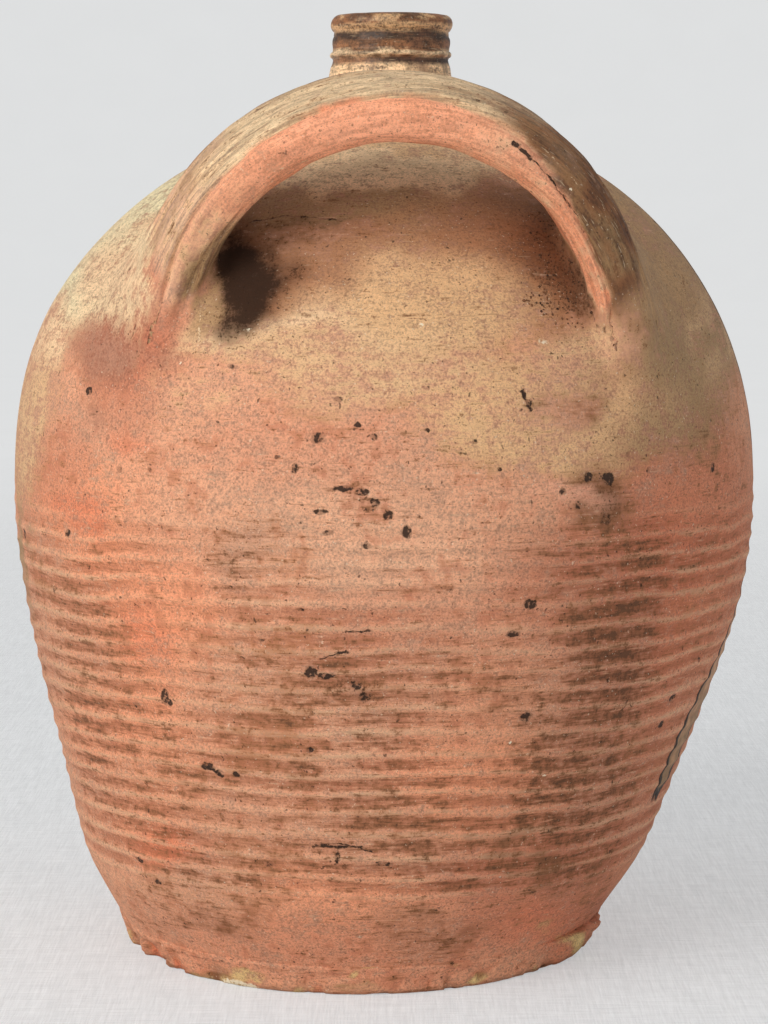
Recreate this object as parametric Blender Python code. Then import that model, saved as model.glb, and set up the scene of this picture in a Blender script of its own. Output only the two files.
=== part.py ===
# Earthenware oil jug: a squat round pot with a collared neck and a strap handle standing
# in front of the neck. Metres, +Z up. The origin is the middle of the foot, on the ground,
# and the handle is on the -Y side.

import math

import bmesh
import bpy
from mathutils import Vector

# Gap left between pieces that were luted together.
JOINT_GAP = 0.0003

# Foot and floor
FOOT_RADIUS = 0.0965
FOOT_EDGE_RADIUS = 0.0985
FOOT_CHAMFER = 0.0020
FLOOR_THICKNESS = 0.0110
FLOOR_STEP = 0.0035
FOOT_EDGE_SHARE = 0.6

# Thrown wall, lower half
WALL = 0.0080
WALL_FOOT_SLOPE = 0.55
HIP_HEIGHT = 0.044
HIP_RADIUS = 0.1165
HIP_SLOPE = 0.34
FLANK_HEIGHT = 0.111
FLANK_RADIUS = 0.1357
FLANK_SLOPE = 0.28
HIP_STEPS = 4
BELLY_HEIGHT = 0.185
BELLY_RADIUS = 0.1485

# Finger rings left by throwing
RING_PITCH = 0.0078
RING_DEPTH = 0.0010
RING_START = 0.046
RING_COUNT = 17

# Luted seam at the belly
TONGUE_WIDTH = 0.0026
TONGUE_HEIGHT = 0.0040

# Domed shoulder
DOME_RISE = 0.1456
DOME_POWER = 2.1
SEAT_RADIUS = 0.0370
OPENING_RADIUS = 0.0235

# Neck
NECK_HEIGHT = 0.0432
NECK_RADIUS = 0.0254
NECK_FLARE_HEIGHT = 0.0190
FLANGE_EDGE = 0.0014
SPIGOT_DEPTH = 0.0060
BORE_RADIUS = 0.0150
GROOVE_RADIUS = 0.0233
BEAD_RADIUS = 0.0243
BEAD_WIDTH = 0.0026
BEAD_DROP = 0.0155
BAND_RADIUS = 0.0238
ROLL_RADIUS = 0.0243
ROLL_HEIGHT = 0.0072
RIM_LAND = 0.0028
MOUTH_BEVEL = 0.0030

# Strap handle
HANDLE_ROOT_SHARE = 0.5495
HANDLE_SPAN_SHARE = 0.5522
HANDLE_ARCH_RISE = 0.083
HANDLE_ARCH_POWER = 1.97
HANDLE_SIDE_OFFSET = 0.0022
HANDLE_LEAN = math.radians(19)
HANDLE_TURN = math.radians(1.5)
HANDLE_TWIST = math.radians(14)
STRAP_WIDTH = 0.040
STRAP_THICKNESS = 0.021
STRAP_ROOT_THICKNESS = 0.024
STRAP_CORNER_POWER = 2.8
ROOT_SWELL_POWER = 3
SPRING_DROP = 0.014
ROOT_EMBED = 0.030

# Wads of clay wiped round the handle's roots
PAD_SIDE_MARGIN = 0.0065
PAD_END_MARGIN = 0.0095
PAD_HEIGHT = 0.014

# The pot leans a little: the belly stands beside the foot, and the neck beside the belly.
BELLY_SHIFT = 0.0102
BELLY_SHIFT_HEIGHT = 0.087
BELLY_SHIFT_POWER = 1.63
NECK_SHIFT = 0.0018
NECK_SHIFT_POWER = 4

# Fineness of the meshes
TURN_STEPS = 48
DOME_STEPS = 15
DOME_START_SHARE = 0.06
LINER_STEPS = 9
ARC_STEPS = 5
STRAP_SIDES = 24
ARCH_STEPS = 34
PAD_TURNS = 28
PAD_RINGS = 14
DROP_HALVINGS = 30

SEAM_RADIUS = BELLY_RADIUS - WALL / 2
WALL_START = FLOOR_THICKNESS + JOINT_GAP
GROOVE_STEP = BEAD_WIDTH / 4
HANDLE_HALF_SPAN = BELLY_RADIUS * HANDLE_SPAN_SHARE
HANDLE_ROOT_RISE = DOME_RISE * HANDLE_ROOT_SHARE


def hermite(low, high, height):
    """Radius at a height on the smooth curve between two (height, radius, slope) stations."""
    span = high[0] - low[0]
    t = (height - low[0]) / span
    return (
        (2 * t**3 - 3 * t**2 + 1) * low[1]
        + (t**3 - 2 * t**2 + t) * span * low[2]
        + (3 * t**2 - 2 * t**3) * high[1]
        + (t**3 - t**2) * span * high[2]
    )


def flank_radius(height):
    """Outer radius of the lower half, without its finger rings."""
    stations = (
        (WALL_START, FOOT_EDGE_RADIUS, WALL_FOOT_SLOPE),
        (HIP_HEIGHT, HIP_RADIUS, HIP_SLOPE),
        (FLANK_HEIGHT, FLANK_RADIUS, FLANK_SLOPE),
        (BELLY_HEIGHT, BELLY_RADIUS, 0.0),
    )
    for low, high in zip(stations, stations[1:]):
        if height <= high[0]:
            return hermite(low, high, height)
    return BELLY_RADIUS


def dome_point(radius, rise, angle):
    """Point of a superellipse quarter: angle 0 is the belly and 90 degrees is the top."""
    return (
        radius * math.cos(angle) ** (2 / DOME_POWER),
        BELLY_HEIGHT + rise * math.sin(angle) ** (2 / DOME_POWER),
    )


def dome_rise_at(radius, full_radius, rise):
    """Height over the belly at which the dome has narrowed to a radius."""
    return rise * (1 - (radius / full_radius) ** DOME_POWER) ** (1 / DOME_POWER)


def dome_side(full_radius, rise, end_radius, steps):
    """Points up a dome from the belly to the radius at which it is cut."""
    end_angle = math.acos((end_radius / full_radius) ** (DOME_POWER / 2))
    start_angle = end_angle * DOME_START_SHARE
    turns = [start_angle + (end_angle - start_angle) * i / steps for i in range(steps + 1)]
    return [dome_point(full_radius, rise, angle) for angle in turns]


SEAT_HEIGHT = BELLY_HEIGHT + dome_rise_at(SEAT_RADIUS, BELLY_RADIUS, DOME_RISE)
RIM_HEIGHT = SEAT_HEIGHT + NECK_HEIGHT


def lean(height):
    """Sideways shift of the pot's middle at a height."""
    bow = 1 - math.exp(-((max(height, 0.0) / BELLY_SHIFT_HEIGHT) ** BELLY_SHIFT_POWER))
    return BELLY_SHIFT * bow + NECK_SHIFT * (height / RIM_HEIGHT) ** NECK_SHIFT_POWER


def arc(center, radii, start, end, steps=ARC_STEPS):
    """Points of an elliptical arc in the turning plane, angles in degrees."""
    turns = [math.radians(start + (end - start) * i / steps) for i in range(steps + 1)]
    return [(center[0] + radii[0] * math.cos(a), center[1] + radii[1] * math.sin(a)) for a in turns]


def clay(name, color, roughness):
    material = bpy.data.materials.new(name)
    material.use_nodes = True
    shader = material.node_tree.nodes["Principled BSDF"]
    shader.inputs["Base Color"].default_value = (*color, 1.0)
    shader.inputs["Roughness"].default_value = roughness
    shader.inputs["Metallic"].default_value = 0.0
    return material


def finish(name, mesh_data, color, roughness):
    """Lean the shape with the pot and put it in the scene as a named object."""
    for vertex in mesh_data.verts:
        vertex.co.x += lean(vertex.co.z)
    mesh = bpy.data.meshes.new(name)
    mesh_data.to_mesh(mesh)
    mesh_data.free()
    mesh.shade_smooth()
    mesh.set_sharp_from_angle(angle=math.radians(40))
    mesh.materials.append(clay(name + "_clay", color, roughness))
    piece = bpy.data.objects.new(name, mesh)
    bpy.context.collection.objects.link(piece)
    return piece


def turned(outline, closed=True):
    """Spin an outline of (radius, height) points round the Z axis."""
    shape = bmesh.new()
    verts = [shape.verts.new((radius, 0.0, height)) for radius, height in outline]
    pairs = list(zip(verts, verts[1:]))
    if closed:
        pairs.append((verts[-1], verts[0]))
    edges = [shape.edges.new(pair) for pair in pairs]
    bmesh.ops.spin(
        shape,
        geom=verts + edges,
        cent=(0.0, 0.0, 0.0),
        axis=(0.0, 0.0, 1.0),
        angle=math.tau,
        steps=TURN_STEPS,
        use_merge=True,
    )
    bmesh.ops.remove_doubles(shape, verts=shape.verts, dist=1e-6)
    bmesh.ops.recalc_face_normals(shape, faces=shape.faces)
    return shape


def base_disc():
    """Slab floor whose edge shows under the wall, with a raised step that the wall stands round."""
    step_radius = FOOT_EDGE_RADIUS - WALL - JOINT_GAP
    outline = [
        (0.0, FLOOR_THICKNESS + FLOOR_STEP),
        (step_radius, FLOOR_THICKNESS + FLOOR_STEP),
        (step_radius, FLOOR_THICKNESS),
        (FOOT_EDGE_RADIUS, FLOOR_THICKNESS),
        (FOOT_EDGE_RADIUS, FLOOR_THICKNESS * FOOT_EDGE_SHARE),
        (FOOT_RADIUS, FOOT_CHAMFER),
        (FOOT_RADIUS - FOOT_CHAMFER, 0.0),
        (0.0, 0.0),
    ]
    return finish("base_disc", turned(outline, closed=False), (0.47, 0.30, 0.17), 0.85)


def ringed_side():
    """Outer side of the lower half, top to bottom: ridges and valleys by turns where it was ribbed."""
    points = [(BELLY_RADIUS, BELLY_HEIGHT)]
    for index in range(2 * RING_COUNT, -1, -1):
        height = RING_START + index * RING_PITCH / 2
        if height < BELLY_HEIGHT - RING_PITCH / 4:
            valley = RING_DEPTH if index % 2 else 0.0
            points.append((flank_radius(height) - valley, height))
    for step in range(HIP_STEPS - 1, -1, -1):
        height = WALL_START + (RING_START - WALL_START) * step / HIP_STEPS
        points.append((flank_radius(height), height))
    return points


def lower_body():
    """Ribbed lower half, with the seam's tongue standing on its top."""
    tongue_inner = SEAM_RADIUS - TONGUE_WIDTH / 2
    tongue_outer = SEAM_RADIUS + TONGUE_WIDTH / 2
    outline = ringed_side()
    for step in range(LINER_STEPS + 1):
        height = WALL_START + (BELLY_HEIGHT - WALL_START) * step / LINER_STEPS
        outline.append((flank_radius(height) - WALL, height))
    outline += [
        (tongue_inner, BELLY_HEIGHT),
        (tongue_inner, BELLY_HEIGHT + TONGUE_HEIGHT),
        (tongue_outer, BELLY_HEIGHT + TONGUE_HEIGHT),
        (tongue_outer, BELLY_HEIGHT),
    ]
    return finish("lower_body", turned(outline), (0.56, 0.30, 0.20), 0.8)


def shoulder_side():
    """Outer side of the domed half, from the neck's seat down to the belly."""
    side = dome_side(BELLY_RADIUS, DOME_RISE, SEAT_RADIUS, DOME_STEPS)
    return side[::-1] + [(BELLY_RADIUS, BELLY_HEIGHT + JOINT_GAP)]


def upper_body():
    """Smooth domed half, grooved for the tongue, with a flat seat round the neck's opening."""
    groove_inner = SEAM_RADIUS - TONGUE_WIDTH / 2 - JOINT_GAP
    groove_outer = SEAM_RADIUS + TONGUE_WIDTH / 2 + JOINT_GAP
    groove_top = BELLY_HEIGHT + TONGUE_HEIGHT + JOINT_GAP
    foot = BELLY_HEIGHT + JOINT_GAP
    outline = shoulder_side()
    outline += [
        (groove_outer, foot),
        (groove_outer, groove_top),
        (groove_inner, groove_top),
        (groove_inner, foot),
        (BELLY_RADIUS - WALL, foot),
    ]
    outline += dome_side(BELLY_RADIUS - WALL, DOME_RISE - WALL, OPENING_RADIUS, LINER_STEPS)
    outline.append((OPENING_RADIUS, SEAT_HEIGHT))
    return finish("upper_body", turned(outline), (0.50, 0.36, 0.22), 0.75)


def neck():
    """Collar with a rolled rim, a band, a bead and a flared foot, let into the dome's opening."""
    foot = SEAT_HEIGHT + JOINT_GAP
    spigot_radius = OPENING_RADIUS - JOINT_GAP
    bead_height = RIM_HEIGHT - BEAD_DROP
    flare_top = foot + NECK_FLARE_HEIGHT
    roll_center = RIM_HEIGHT - ROLL_HEIGHT / 2
    land_outer = BORE_RADIUS + MOUTH_BEVEL + RIM_LAND
    outline = [(BORE_RADIUS + MOUTH_BEVEL, RIM_HEIGHT)]
    outline += arc((land_outer, roll_center), (ROLL_RADIUS - land_outer, ROLL_HEIGHT / 2), 90, -50, 7)
    outline += [
        (GROOVE_RADIUS, RIM_HEIGHT - ROLL_HEIGHT - GROOVE_STEP),
        (BAND_RADIUS, RIM_HEIGHT - ROLL_HEIGHT - 3 * GROOVE_STEP),
        (BAND_RADIUS, bead_height + BEAD_WIDTH),
        (GROOVE_RADIUS, bead_height + 3 * GROOVE_STEP),
    ]
    outline += arc((GROOVE_RADIUS, bead_height), (BEAD_RADIUS - GROOVE_RADIUS, BEAD_WIDTH / 2), 60, -60, 4)
    outline.append((GROOVE_RADIUS, bead_height - BEAD_WIDTH))
    flare_size = (SEAT_RADIUS - NECK_RADIUS, flare_top - foot - FLANGE_EDGE)
    outline += arc((SEAT_RADIUS, flare_top), flare_size, 180, 270)
    outline += [
        (SEAT_RADIUS, foot),
        (spigot_radius, foot),
        (spigot_radius, foot - SPIGOT_DEPTH),
        (BORE_RADIUS, foot - SPIGOT_DEPTH),
        (BORE_RADIUS, RIM_HEIGHT - MOUTH_BEVEL),
    ]
    return finish("neck", turned(outline), (0.33, 0.21, 0.11), 0.6)


def handle_axes():
    """Directions across the arch, up its leaning plane, and square to both, towards the neck."""
    across = Vector((math.cos(HANDLE_TURN), -math.sin(HANDLE_TURN), 0.0))
    outward = Vector((-math.sin(HANDLE_TURN), -math.cos(HANDLE_TURN), 0.0))
    rise = Vector((0.0, 0.0, math.cos(HANDLE_LEAN))) + outward * math.sin(HANDLE_LEAN)
    return across, rise, rise.cross(across)


def root_middle():
    """Point midway between the two roots, level with where the limbs leave the dome."""
    radius = BELLY_RADIUS * (1 - HANDLE_ROOT_SHARE**DOME_POWER) ** (1 / DOME_POWER)
    depth = math.sqrt(radius**2 - HANDLE_HALF_SPAN**2)
    return Vector((HANDLE_SIDE_OFFSET, -depth, BELLY_HEIGHT + HANDLE_ROOT_RISE))


def arch_frames():
    """Stations along the handle: centre, direction across the strap, direction out of the arch."""
    across, rise, back = handle_axes()
    center = root_middle() - rise * SPRING_DROP
    frames = []
    for step in range(-1, ARCH_STEPS + 2):
        share = min(max(step / ARCH_STEPS, 0.0), 1.0)
        angle = math.pi * (share - 0.5)
        power = 2 / HANDLE_ARCH_POWER
        reach = math.copysign(abs(math.sin(angle)) ** power, angle)
        lift = max(math.cos(angle), 0.0) ** power
        middle = center + across * HANDLE_HALF_SPAN * reach + rise * HANDLE_ARCH_RISE * lift
        outer = (across * math.sin(angle) + rise * math.cos(angle)).normalized()
        if step < 0 or step > ARCH_STEPS:
            middle -= rise * ROOT_EMBED
        twist = -HANDLE_TWIST * math.sin(angle)
        wide = back * math.cos(twist) + outer * math.sin(twist)
        thick = outer * math.cos(twist) - back * math.sin(twist)
        rootward = abs(2 * share - 1) ** ROOT_SWELL_POWER
        half_thickness = (STRAP_THICKNESS + (STRAP_ROOT_THICKNESS - STRAP_THICKNESS) * rootward) / 2
        frames.append((middle, wide, thick, half_thickness))
    return frames


def section(frame, extra):
    """Points round the strap's rounded section at one station, grown all round by an amount."""
    middle, wide, thick, half_thickness = frame
    power = 2 / STRAP_CORNER_POWER
    points = []
    for side in range(STRAP_SIDES):
        angle = math.tau * side / STRAP_SIDES
        u = math.copysign(abs(math.cos(angle)) ** power, math.cos(angle)) * (STRAP_WIDTH / 2 + extra)
        v = math.copysign(abs(math.sin(angle)) ** power, math.sin(angle)) * (half_thickness + extra)
        points.append(middle + wide * u + thick * v)
    return points


def strap(frames, extra):
    """Loft the strap's section along its stations."""
    shape = bmesh.new()
    rings = []
    for frame in frames:
        loop = [shape.verts.new(point) for point in section(frame, extra)]
        rings.append([shape.edges.new((a, b)) for a, b in zip(loop, loop[1:] + loop[:1])])
    for near, far in zip(rings, rings[1:]):
        bmesh.ops.bridge_loops(shape, edges=near + far)
    bmesh.ops.edgeloop_fill(shape, edges=rings[0])
    bmesh.ops.edgeloop_fill(shape, edges=rings[-1])
    bmesh.ops.recalc_face_normals(shape, faces=shape.faces)
    return shape


def cut(piece, cutter):
    boolean = piece.modifiers.new("cut_by_" + cutter.name, "BOOLEAN")
    boolean.operation = "DIFFERENCE"
    boolean.solver = "EXACT"
    boolean.object = cutter


def as_cutter(piece):
    piece.hide_render = True
    piece.display_type = "WIRE"
    return piece


def shoulder_cutter():
    """The dome's outside, grown by the joint gap."""
    side = [(radius + JOINT_GAP, height + JOINT_GAP) for radius, height in shoulder_side()]
    outline = [(0.0, SEAT_HEIGHT + JOINT_GAP)] + side
    outline += [(BELLY_RADIUS + JOINT_GAP, BELLY_HEIGHT - WALL), (0.0, BELLY_HEIGHT - WALL)]
    return as_cutter(finish("shoulder_cutter", turned(outline, closed=False), (0.5, 0.5, 0.5), 0.8))


def drop_on_dome(point, direction):
    """Point where a line through a point meets the dome's outside, by halving its reach."""
    high, low = DOME_RISE, -DOME_RISE
    for _ in range(DROP_HALVINGS):
        reach = (high + low) / 2
        spot = point + direction * reach
        height = max(spot.z - BELLY_HEIGHT, 0.0) / DOME_RISE
        if (math.hypot(spot.x, spot.y) / BELLY_RADIUS) ** DOME_POWER + height**DOME_POWER > 1:
            high = reach
        else:
            low = reach
    return spot


def root_wad(frame):
    """Flattened ball of clay on the dome, wide enough for the footprint of one root."""
    rise = handle_axes()[1]
    footprint = [drop_on_dome(point, rise) for point in section(frame, 0.0)]
    spot = sum(footprint, Vector()) / STRAP_SIDES
    radial = Vector((spot.x, spot.y, 0.0))
    steep = (radial.length / BELLY_RADIUS) ** (DOME_POWER - 1) / BELLY_RADIUS
    level = ((spot.z - BELLY_HEIGHT) / DOME_RISE) ** (DOME_POWER - 1) / DOME_RISE
    normal = (radial.normalized() * steep + Vector((0.0, 0.0, level))).normalized()
    sideways = Vector((0.0, 0.0, 1.0)).cross(normal).normalized()
    uphill = normal.cross(sideways)
    halves = [normal * PAD_HEIGHT]
    for direction, margin in ((uphill, PAD_END_MARGIN), (sideways, PAD_SIDE_MARGIN)):
        reaches = [(point - spot).dot(direction) for point in footprint]
        spot = spot + direction * (max(reaches) + min(reaches)) / 2
        halves.insert(0, direction * ((max(reaches) - min(reaches)) / 2 + margin))
    shape = bmesh.new()
    bmesh.ops.create_uvsphere(shape, u_segments=PAD_TURNS, v_segments=PAD_RINGS, radius=1.0)
    for vertex in shape.verts:
        vertex.co = spot + sum((half * part for half, part in zip(halves, vertex.co)), Vector())
    bmesh.ops.recalc_face_normals(shape, faces=shape.faces)
    return shape


def handle_and_pads():
    """Strap handle standing on the dome, and the two wads wiped round its roots."""
    frames = arch_frames()
    dome = shoulder_cutter()
    handle = finish("handle", strap(frames, 0.0), (0.62, 0.33, 0.19), 0.7)
    cut(handle, dome)
    room = as_cutter(finish("handle_cutter", strap(frames, JOINT_GAP), (0.5, 0.5, 0.5), 0.8))
    for name, frame in (("left_handle_pad", frames[1]), ("right_handle_pad", frames[-2])):
        pad = finish(name, root_wad(frame), (0.45, 0.28, 0.17), 0.85)
        cut(pad, room)
        cut(pad, dome)


for old in list(bpy.data.objects):
    bpy.data.objects.remove(old, do_unlink=True)

base_disc()
lower_body()
upper_body()
neck()
handle_and_pads()
print("oil jug: rim at", round(RIM_HEIGHT, 4), "m, belly", round(2 * BELLY_RADIUS, 4), "m across")
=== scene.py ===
import math

import bmesh
import bpy
import numpy as np
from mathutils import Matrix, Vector, noise
from mathutils.bvhtree import BVHTree


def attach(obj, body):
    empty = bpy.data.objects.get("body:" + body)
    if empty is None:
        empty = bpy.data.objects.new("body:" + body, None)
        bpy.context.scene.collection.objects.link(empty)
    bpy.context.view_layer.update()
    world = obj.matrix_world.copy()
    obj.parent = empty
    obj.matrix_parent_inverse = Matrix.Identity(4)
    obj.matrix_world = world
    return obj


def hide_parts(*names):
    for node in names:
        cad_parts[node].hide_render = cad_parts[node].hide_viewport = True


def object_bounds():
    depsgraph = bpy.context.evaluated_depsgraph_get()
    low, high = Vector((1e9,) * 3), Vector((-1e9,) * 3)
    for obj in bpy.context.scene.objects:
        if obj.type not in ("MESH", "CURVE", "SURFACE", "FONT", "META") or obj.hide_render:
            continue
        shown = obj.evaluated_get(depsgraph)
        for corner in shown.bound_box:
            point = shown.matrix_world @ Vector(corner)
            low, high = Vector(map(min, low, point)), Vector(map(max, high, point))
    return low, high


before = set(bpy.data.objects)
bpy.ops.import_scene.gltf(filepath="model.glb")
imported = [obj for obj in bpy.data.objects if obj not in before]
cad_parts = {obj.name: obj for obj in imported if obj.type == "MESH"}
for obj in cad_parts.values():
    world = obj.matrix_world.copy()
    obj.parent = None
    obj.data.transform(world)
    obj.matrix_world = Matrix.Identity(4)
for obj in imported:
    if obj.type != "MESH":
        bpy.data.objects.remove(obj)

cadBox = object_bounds()  # the CAD model's box, before anything is dressed
print("frame loaded:", ", ".join(sorted(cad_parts)))
noise.seed_set(11)  # or the soft noise would differ from run to run
mergeGap = 0.00002  # points of a turned or bent skin this near each other are one


# The viewpoint. Its lens was worked out from the pot's outline in the photograph.
viewpoint = {
    "wide": 768, "high": 1024,  # the photograph's frame, in pixels
    "focalPixels": 2611.5,
    "place": (0.0102, -1.05, 0.2970),
    "pitchDown": math.radians(6.782),
    "sensor": 36.0,
}


def makeCamera():
    data = bpy.data.cameras.new("photoCamera")
    data.sensor_width = viewpoint["sensor"]
    data.lens = viewpoint["focalPixels"] / viewpoint["high"] * viewpoint["sensor"]
    data.clip_start = 0.01
    camera = bpy.data.objects.new("photoCamera", data)
    camera.location = viewpoint["place"]
    camera.rotation_euler = (math.pi / 2 - viewpoint["pitchDown"], 0.0, 0.0)
    bpy.context.scene.collection.objects.link(camera)
    bpy.context.scene.camera = camera


def toPixels(points):  # where points fall in the photograph's frame
    pitch = viewpoint["pitchDown"]
    x, y, z = (points - np.array(viewpoint["place"])).T
    depth = y * math.cos(pitch) - z * math.sin(pitch)
    up = y * math.sin(pitch) + z * math.cos(pitch)
    focal = viewpoint["focalPixels"]
    return viewpoint["wide"] / 2 + focal * x / depth, viewpoint["high"] / 2 - focal * up / depth


def sightLine(px, py):  # the ray through a pixel of the photograph
    pitch = viewpoint["pitchDown"]
    right = (px - viewpoint["wide"] / 2) / viewpoint["focalPixels"]
    up = (viewpoint["high"] / 2 - py) / viewpoint["focalPixels"]
    forward = Vector((0.0, math.cos(pitch), -math.sin(pitch)))
    upward = Vector((0.0, math.sin(pitch), math.cos(pitch)))
    return Vector(viewpoint["place"]), (forward + Vector((1.0, 0.0, 0.0)) * right + upward * up).normalized()


# Node trees are written as sums: a Wire is a socket that can be added, multiplied and so on.
class Wire:
    def __init__(self, tree, socket):
        self.tree = tree
        self.socket = socket

    def calc(self, kind, *others):
        node = self.tree.nodes.new("ShaderNodeMath")
        node.operation = kind
        for slot, value in enumerate((self,) + others):
            plug(self.tree, node.inputs[slot], value)
        return Wire(self.tree, node.outputs[0])

    def __add__(self, other):
        return self.calc("ADD", other)

    def __radd__(self, other):
        return self.calc("ADD", other)

    def __sub__(self, other):
        return self.calc("SUBTRACT", other)

    def __rsub__(self, other):
        return self.calc("MULTIPLY", -1.0).calc("ADD", other)

    def __mul__(self, other):
        return self.calc("MULTIPLY", other)

    def __rmul__(self, other):
        return self.calc("MULTIPLY", other)

    def __truediv__(self, other):
        return self.calc("DIVIDE", other)

    def __rtruediv__(self, other):
        return self.calc("POWER", -1.0).calc("MULTIPLY", other)

    def power(self, other):
        return self.calc("POWER", other)

    def sin(self):
        return self.calc("SINE")

    def cos(self):
        return self.calc("COSINE")

    def size(self):
        return self.calc("ABSOLUTE")

    def sign(self):
        return self.calc("SIGN")

    def floor(self):
        return self.calc("FLOOR")

    def least(self, other):
        return self.calc("MINIMUM", other)

    def most(self, other):
        return self.calc("MAXIMUM", other)

    def ramp(self, low, high):  # 0 below low, 1 above high, smooth between
        node = self.tree.nodes.new("ShaderNodeMapRange")
        node.interpolation_type = "SMOOTHSTEP"
        plug(self.tree, node.inputs["Value"], self)
        plug(self.tree, node.inputs["From Min"], low)
        plug(self.tree, node.inputs["From Max"], high)
        return Wire(self.tree, node.outputs["Result"])


def plug(tree, target, value):
    if isinstance(value, Wire):
        tree.links.new(value.socket, target)
    elif isinstance(value, bpy.types.NodeSocket):
        tree.links.new(value, target)
    else:
        target.default_value = value


def addNode(tree, kind, settings=None, **inputs):  # settings are the node's own, inputs its sockets
    node = tree.nodes.new(kind)
    for name, value in (settings or {}).items():
        setattr(node, name, value)
    for name, value in inputs.items():
        plug(tree, node.inputs[name.replace("_", " ")], value)
    return node


def joinXyz(tree, x, y, z):
    return addNode(tree, "ShaderNodeCombineXYZ", X=x, Y=y, Z=z).outputs[0]


def scaled(tree, vector, amount):  # a vector or a colour, times a number
    node = addNode(tree, "ShaderNodeVectorMath", {"operation": "SCALE"}, Vector=vector, Scale=amount)
    return node.outputs[0]


def lengthOf(tree, vector):
    node = addNode(tree, "ShaderNodeVectorMath", {"operation": "LENGTH"}, Vector=vector)
    return Wire(tree, node.outputs["Value"])


def stretched(tree, vector, scale, shift=(0.0, 0.0, 0.0)):  # vector times scale plus shift, part by part
    node = addNode(tree, "ShaderNodeVectorMath", {"operation": "MULTIPLY_ADD"})
    for slot, value in enumerate((vector, scale, shift)):
        plug(tree, node.inputs[slot], value)
    return node.outputs[0]


def cloudIn(tree, vector, scale, seed, detail=2.0, roughness=0.5):  # noise about 0, scale per metre each way
    scale = scale if isinstance(scale, tuple) else (scale, scale, scale)
    place = stretched(tree, vector, scale, (seed * 3.7, seed * 1.9, seed * 5.3))
    node = addNode(tree, "ShaderNodeTexNoise", Vector=place, Scale=1.0, Detail=detail, Roughness=roughness)
    return Wire(tree, node.outputs[0]) - 0.5


def startTree(name, inputs):  # a geometry tree with named inputs: name -> (socket kind, value)
    tree = bpy.data.node_groups.new(name, "GeometryNodeTree")
    tree.interface.new_socket("Geometry", in_out="INPUT", socket_type="NodeSocketGeometry")
    for label, (kind, value) in inputs.items():
        socket = tree.interface.new_socket(label, in_out="INPUT", socket_type="NodeSocket" + kind)
        if value is not None:
            socket.default_value = value
    tree.interface.new_socket("Geometry", in_out="OUTPUT", socket_type="NodeSocketGeometry")
    start = tree.nodes.new("NodeGroupInput")
    return tree, {socket.name: Wire(tree, socket) for socket in start.outputs if socket.name}


def endTree(tree, geometry, material):
    realized = addNode(tree, "GeometryNodeRealizeInstances", Geometry=geometry)
    painted = addNode(tree, "GeometryNodeSetMaterial", Geometry=realized.outputs[0], Material=material)
    finish = tree.nodes.new("NodeGroupOutput")
    tree.links.new(painted.outputs[0], finish.inputs[0])


def grow(name, tree, values, source):  # runs a tree on a source mesh and keeps the result as a plain mesh
    piece = bpy.data.objects.new(name, source)
    bpy.context.scene.collection.objects.link(piece)
    modifier = piece.modifiers.new(tree.name, "NODES")
    modifier.node_group = tree
    for socket in tree.interface.items_tree:
        if socket.in_out == "INPUT" and socket.name in values:
            modifier[socket.identifier] = values[socket.name]
    ready = piece.evaluated_get(bpy.context.evaluated_depsgraph_get())
    mesh = bpy.data.meshes.new_from_object(ready)
    piece.modifiers.clear()
    piece.data = mesh
    mesh.name = name
    return piece


def named(sizes):  # a piece's sizes under the names of its tree's inputs: ringPitch -> Ring Pitch
    return {"".join(" " + letter if letter.isupper() else letter for letter in name).title(): value
            for name, value in sizes.items()}


def readPoints(mesh):
    points = np.empty(len(mesh.vertices) * 3)
    mesh.vertices.foreach_get("co", points)
    return points.reshape(-1, 3)


def writePoints(mesh, points):
    mesh.vertices.foreach_set("co", np.ascontiguousarray(points, dtype=float).ravel())
    mesh.update()


def readNormals(mesh):
    normals = np.empty(len(mesh.vertices) * 3)
    mesh.vertex_normals.foreach_get("vector", normals)
    return normals.reshape(-1, 3)


def readField(mesh, name):
    values = np.empty(len(mesh.vertices))
    mesh.attributes[name].data.foreach_get("value", values)
    return values


def writeField(mesh, name, values):
    layer = mesh.attributes.get(name) or mesh.attributes.new(name, "FLOAT", "POINT")
    layer.data.foreach_set("value", np.ascontiguousarray(values, dtype=float))


def writeColor(mesh, name, colors):
    layer = mesh.attributes.get(name) or mesh.attributes.new(name, "FLOAT_COLOR", "POINT")
    solid = np.concatenate([colors, np.ones((len(colors), 1))], axis=1)
    layer.data.foreach_set("color", np.ascontiguousarray(solid).ravel())


def faceOutwards(piece, closeEnds=False):
    shape = bmesh.new()
    shape.from_mesh(piece.data)
    if closeEnds:
        bmesh.ops.holes_fill(shape, edges=[edge for edge in shape.edges if edge.is_boundary], sides=0)
    bmesh.ops.recalc_face_normals(shape, faces=shape.faces)
    shape.to_mesh(piece.data)
    shape.free()
    piece.data.shade_smooth()


def smoothStep(values, low, high):
    share = np.clip((values - low) / (high - low), 0.0, 1.0)
    return share * share * (3 - 2 * share)


def cloudy(points, size, seed):  # soft noise about 0 in three directions, its blobs about size metres across
    shift = Vector((seed * 17.3, seed * 5.7, seed * 11.1))
    return np.array([noise.noise_vector(Vector(point) / size + shift) for point in points])


# The pot's form, with the same sizes as the CAD model.
potForm = {
    "footEdge": 0.0985,
    "wallStart": 0.0113,
    "footSlope": 0.55,
    "hip": (0.044, 0.1165, 0.34),  # height, radius, slope
    "flank": (0.111, 0.1357, 0.28),
    "bellyHeight": 0.185,
    "bellyRadius": 0.1485,
    "wall": 0.0080,
    "domeRise": 0.1456,
    "domePower": 2.1,
    "seatRadius": 0.0370,
    "neckHeight": 0.0432,
    "bellyShift": (0.0102, 0.087, 1.63),  # sideways, height at which most of it is reached, power
    "neckShift": (0.0032, 4),
}


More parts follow.
